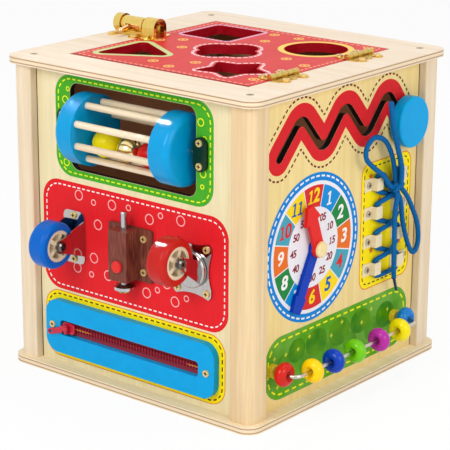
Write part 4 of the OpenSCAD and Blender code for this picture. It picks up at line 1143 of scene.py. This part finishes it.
def dress():
    """Every CAD piece gets a material, apart from the lace, which is replaced."""
    dowel = wood("dowel_wood", srgb(240, 222, 194), srgb(226, 202, 166), "X")
    peg = wood("peg_wood", srgb(244, 222, 166), srgb(232, 202, 142), "X")
    back_face = box_mm("back_panel")[1].y
    left_face = box_mm("left_panel")[0].x
    green = paint("green_paint", srgb(10, 44, 28), 0.3, 0.3)
    slider = paint("slider_paint", srgb(196, 32, 56), 0.3, 0.5)
    finishes = {
        "base_board": plywood("base_ply", srgb(247, 232, 200), srgb(238, 217, 176), "base_board"),
        "top_board": plywood("top_ply", PALE_WOOD, DEEP_WOOD, "top_board"),
        "corner_posts": post_finish(),
        "front_panel": faced_panel("front_face", *FRONT_VENEER, "Y", -FRONT_FACE, WINDOW_WALL),
        "right_panel": faced_panel("right_face", *RIGHT_VENEER, "X", RIGHT_FACE, SLOT_WALL),
        "back_panel": faced_panel("back_face", *FRONT_VENEER, "Y", back_face, HARDBOARD),
        "left_panel": faced_panel("left_face", *RIGHT_VENEER, "X", left_face, HARDBOARD),
        "case_screws": moulded("case_screw", srgb(158, 142, 112), 0.4),
        "brass_screws": screw_finish(),
        "lid_screws": BRASS,
        "eyelet_screws": STEEL,
        "hinge_leaves_board": HINGE_BRASS,
        "hinge_leaves_lid": HINGE_BRASS,
        "hinge_pins": HINGE_BRASS,
        "bolt_barrel": BOLT_BRASS,
        "bolt_keeper": BOLT_BRASS,
        "bolt_rod": metal("bolt_copper", srgb(238, 190, 142), 0.1, 0.22),
        "drum_brackets": green,
        "drum_discs": paint("disc_paint", srgb(0, 152, 212), 0.35, 0.22),
        "drum_dowels": dowel,
        "drum_pins": STEEL,
        "ball_yellow": paint("ball_yellow", srgb(232, 216, 6), 0.4, 0.2),
        "bell": metal("bell_brass", srgb(252, 230, 164), 0.1, 0.2),
        "ball_red": RED_PAINT,
        "caster_bracket": PLATED,
        "caster_axle": SHADED_CHROME,
        "caster_tyre": paint("tyre_blue", srgb(0, 96, 192), 0.3, 0.14),
        "caster_hub": CREAM_PLASTIC,
        "latch_body": latch_finish(),
        "latch_pin": CHROME,
        "latch_button": moulded("button_red", srgb(226, 44, 40), 0.35),
        "swivel_plate": PLATED,
        "swivel_yoke": PLATED,
        "swivel_axle": SHADED_CHROME,
        "swivel_tyre": paint("tyre_red", srgb(190, 32, 26), 0.3, 0.16),
        "swivel_hub": CREAM_PLASTIC,
        "zip_board": SKY_PAINT,
        "zip_tape": tape_finish(),
        "zip_teeth": teeth_finish(),
        "zip_slider": slider,
        "zip_pull": slider,
        "knob_runner": CREAM_PLASTIC,
        "knob_disc": SKY_PAINT,
        "knob_spindle": STEEL,
        "clock_peg": peg,
        "hour_hand": paint("hour_red", srgb(226, 28, 24), 0.4, 0.2),
        "minute_hand": paint("minute_blue", srgb(0, 58, 178), 0.4, 0.1),
        "lace_eyelets": moulded("eyelet_cream", srgb(236, 220, 182), 0.3),
        "bead_wire": STEEL,
        "wire_pegs": paint("peg_yellow", srgb(226, 200, 40), 0.4, 0.3),
        "lid": lid_finish(),
    }
    for name, colour in BEAD_TINTS.items():
        finishes[name] = paint(name, colour, 0.3, BEAD_COAT)
    for name, material in finishes.items():
        mesh = nodes[name].data
        mesh.materials.clear()
        mesh.materials.append(material)


SMOOTH_ANGLE = 32.0


def smooth_shading():
    """Round faces shade smoothly and edges stay sharp."""
    for node in nodes.values():
        node.data.shade_smooth()
        node.data.set_sharp_from_angle(angle=math.radians(SMOOTH_ANGLE))


dress()
smooth_shading()


# Studio, in metres
FLOOR_REACH = 6.0
FLOOR_Z = -0.0003
FLOOR_GLOW = 0.9


def make_floor():
    """A white floor that still shows some of the object's shadow."""
    mesh = bpy.data.meshes.new("floor")
    corners = [(a * FLOOR_REACH, b * FLOOR_REACH, FLOOR_Z) for a, b in SQUARE_SIGNS]
    mesh.from_pydata(corners, [], [(0, 1, 2, 3)])
    placed("floor", mesh)
    material = bpy.data.materials.new("floor_white")
    material.use_nodes = True
    tree = material.node_tree
    shader = tree.nodes["Principled BSDF"]
    shader.inputs["Base Color"].default_value = (0.92, 0.92, 0.92, 1)
    shader.inputs["Roughness"].default_value = 0.9
    glow = tree.nodes.new("ShaderNodeEmission")
    seen = seen_directly(tree)
    share = tree.nodes.new("ShaderNodeMath")
    share.operation = "MULTIPLY"
    share.inputs[1].default_value = FLOOR_GLOW
    tree.links.new(seen, share.inputs[0])
    mix = tree.nodes.new("ShaderNodeMixShader")
    tree.links.new(share.outputs[0], mix.inputs[0])
    tree.links.new(shader.outputs[0], mix.inputs[1])
    tree.links.new(glow.outputs[0], mix.inputs[2])
    tree.links.new(mix.outputs[0], tree.nodes["Material Output"].inputs["Surface"])
    mesh.materials.append(material)


def seen_directly(tree):
    """1 for rays from the camera, from a reflection or through glass."""
    path = tree.nodes.new("ShaderNodeLightPath")
    first = tree.nodes.new("ShaderNodeMath")
    first.operation = "MAXIMUM"
    tree.links.new(path.outputs["Is Camera Ray"], first.inputs[0])
    tree.links.new(path.outputs["Is Glossy Ray"], first.inputs[1])
    second = tree.nodes.new("ShaderNodeMath")
    second.operation = "MAXIMUM"
    tree.links.new(first.outputs[0], second.inputs[0])
    tree.links.new(path.outputs["Is Transmission Ray"], second.inputs[1])
    return second.outputs[0]


AMBIENT = 0.56


def make_world():
    """White where it is seen, and a plain ambient light elsewhere."""
    world = bpy.data.worlds.new("studio")
    bpy.context.scene.world = world
    world.use_nodes = True
    tree = world.node_tree
    light = tree.nodes["Background"]
    strength = tree.nodes.new("ShaderNodeMapRange")
    tree.links.new(seen_directly(tree), strength.inputs["Value"])
    strength.inputs["To Min"].default_value = AMBIENT
    strength.inputs["To Max"].default_value = 1.0
    light.inputs["Color"].default_value = (1, 1, 1, 1)
    tree.links.new(strength.outputs["Result"], light.inputs["Strength"])


def make_lamp(name, place, aim, size, watts):
    data = bpy.data.lights.new(name, "AREA")
    data.size = size
    data.energy = watts
    lamp = placed(name, data)
    lamp.location = place
    lamp.rotation_euler = (Vector(aim) - Vector(place)).to_track_quat("-Z", "Y").to_euler()
    return lamp


CASE_MIDDLE = (0, 0, 0.13)
DRUM_FRONT = (-0.005, -0.155, 0.19)
GLOSS_SPREAD = 5.0


def make_studio():
    """Three soft lamps, and a narrow one that only the gloss shows."""
    make_floor()
    make_world()
    make_lamp("key", (0.1, -1.6, 1.2), CASE_MIDDLE, size=0.9, watts=16)
    make_lamp("fill", (1.7, -0.3, 0.9), CASE_MIDDLE, size=0.9, watts=10)
    make_lamp("top", (0.1, 0.3, 1.8), CASE_MIDDLE, size=1.0, watts=6)
    gloss = make_lamp("gloss", (-0.95, -0.1, 1.4), DRUM_FRONT, size=0.1, watts=0.13)
    gloss.data.spread = math.radians(GLOSS_SPREAD)
    gloss.visible_diffuse = False
    bpy.context.scene.view_settings.view_transform = "Standard"


make_studio()
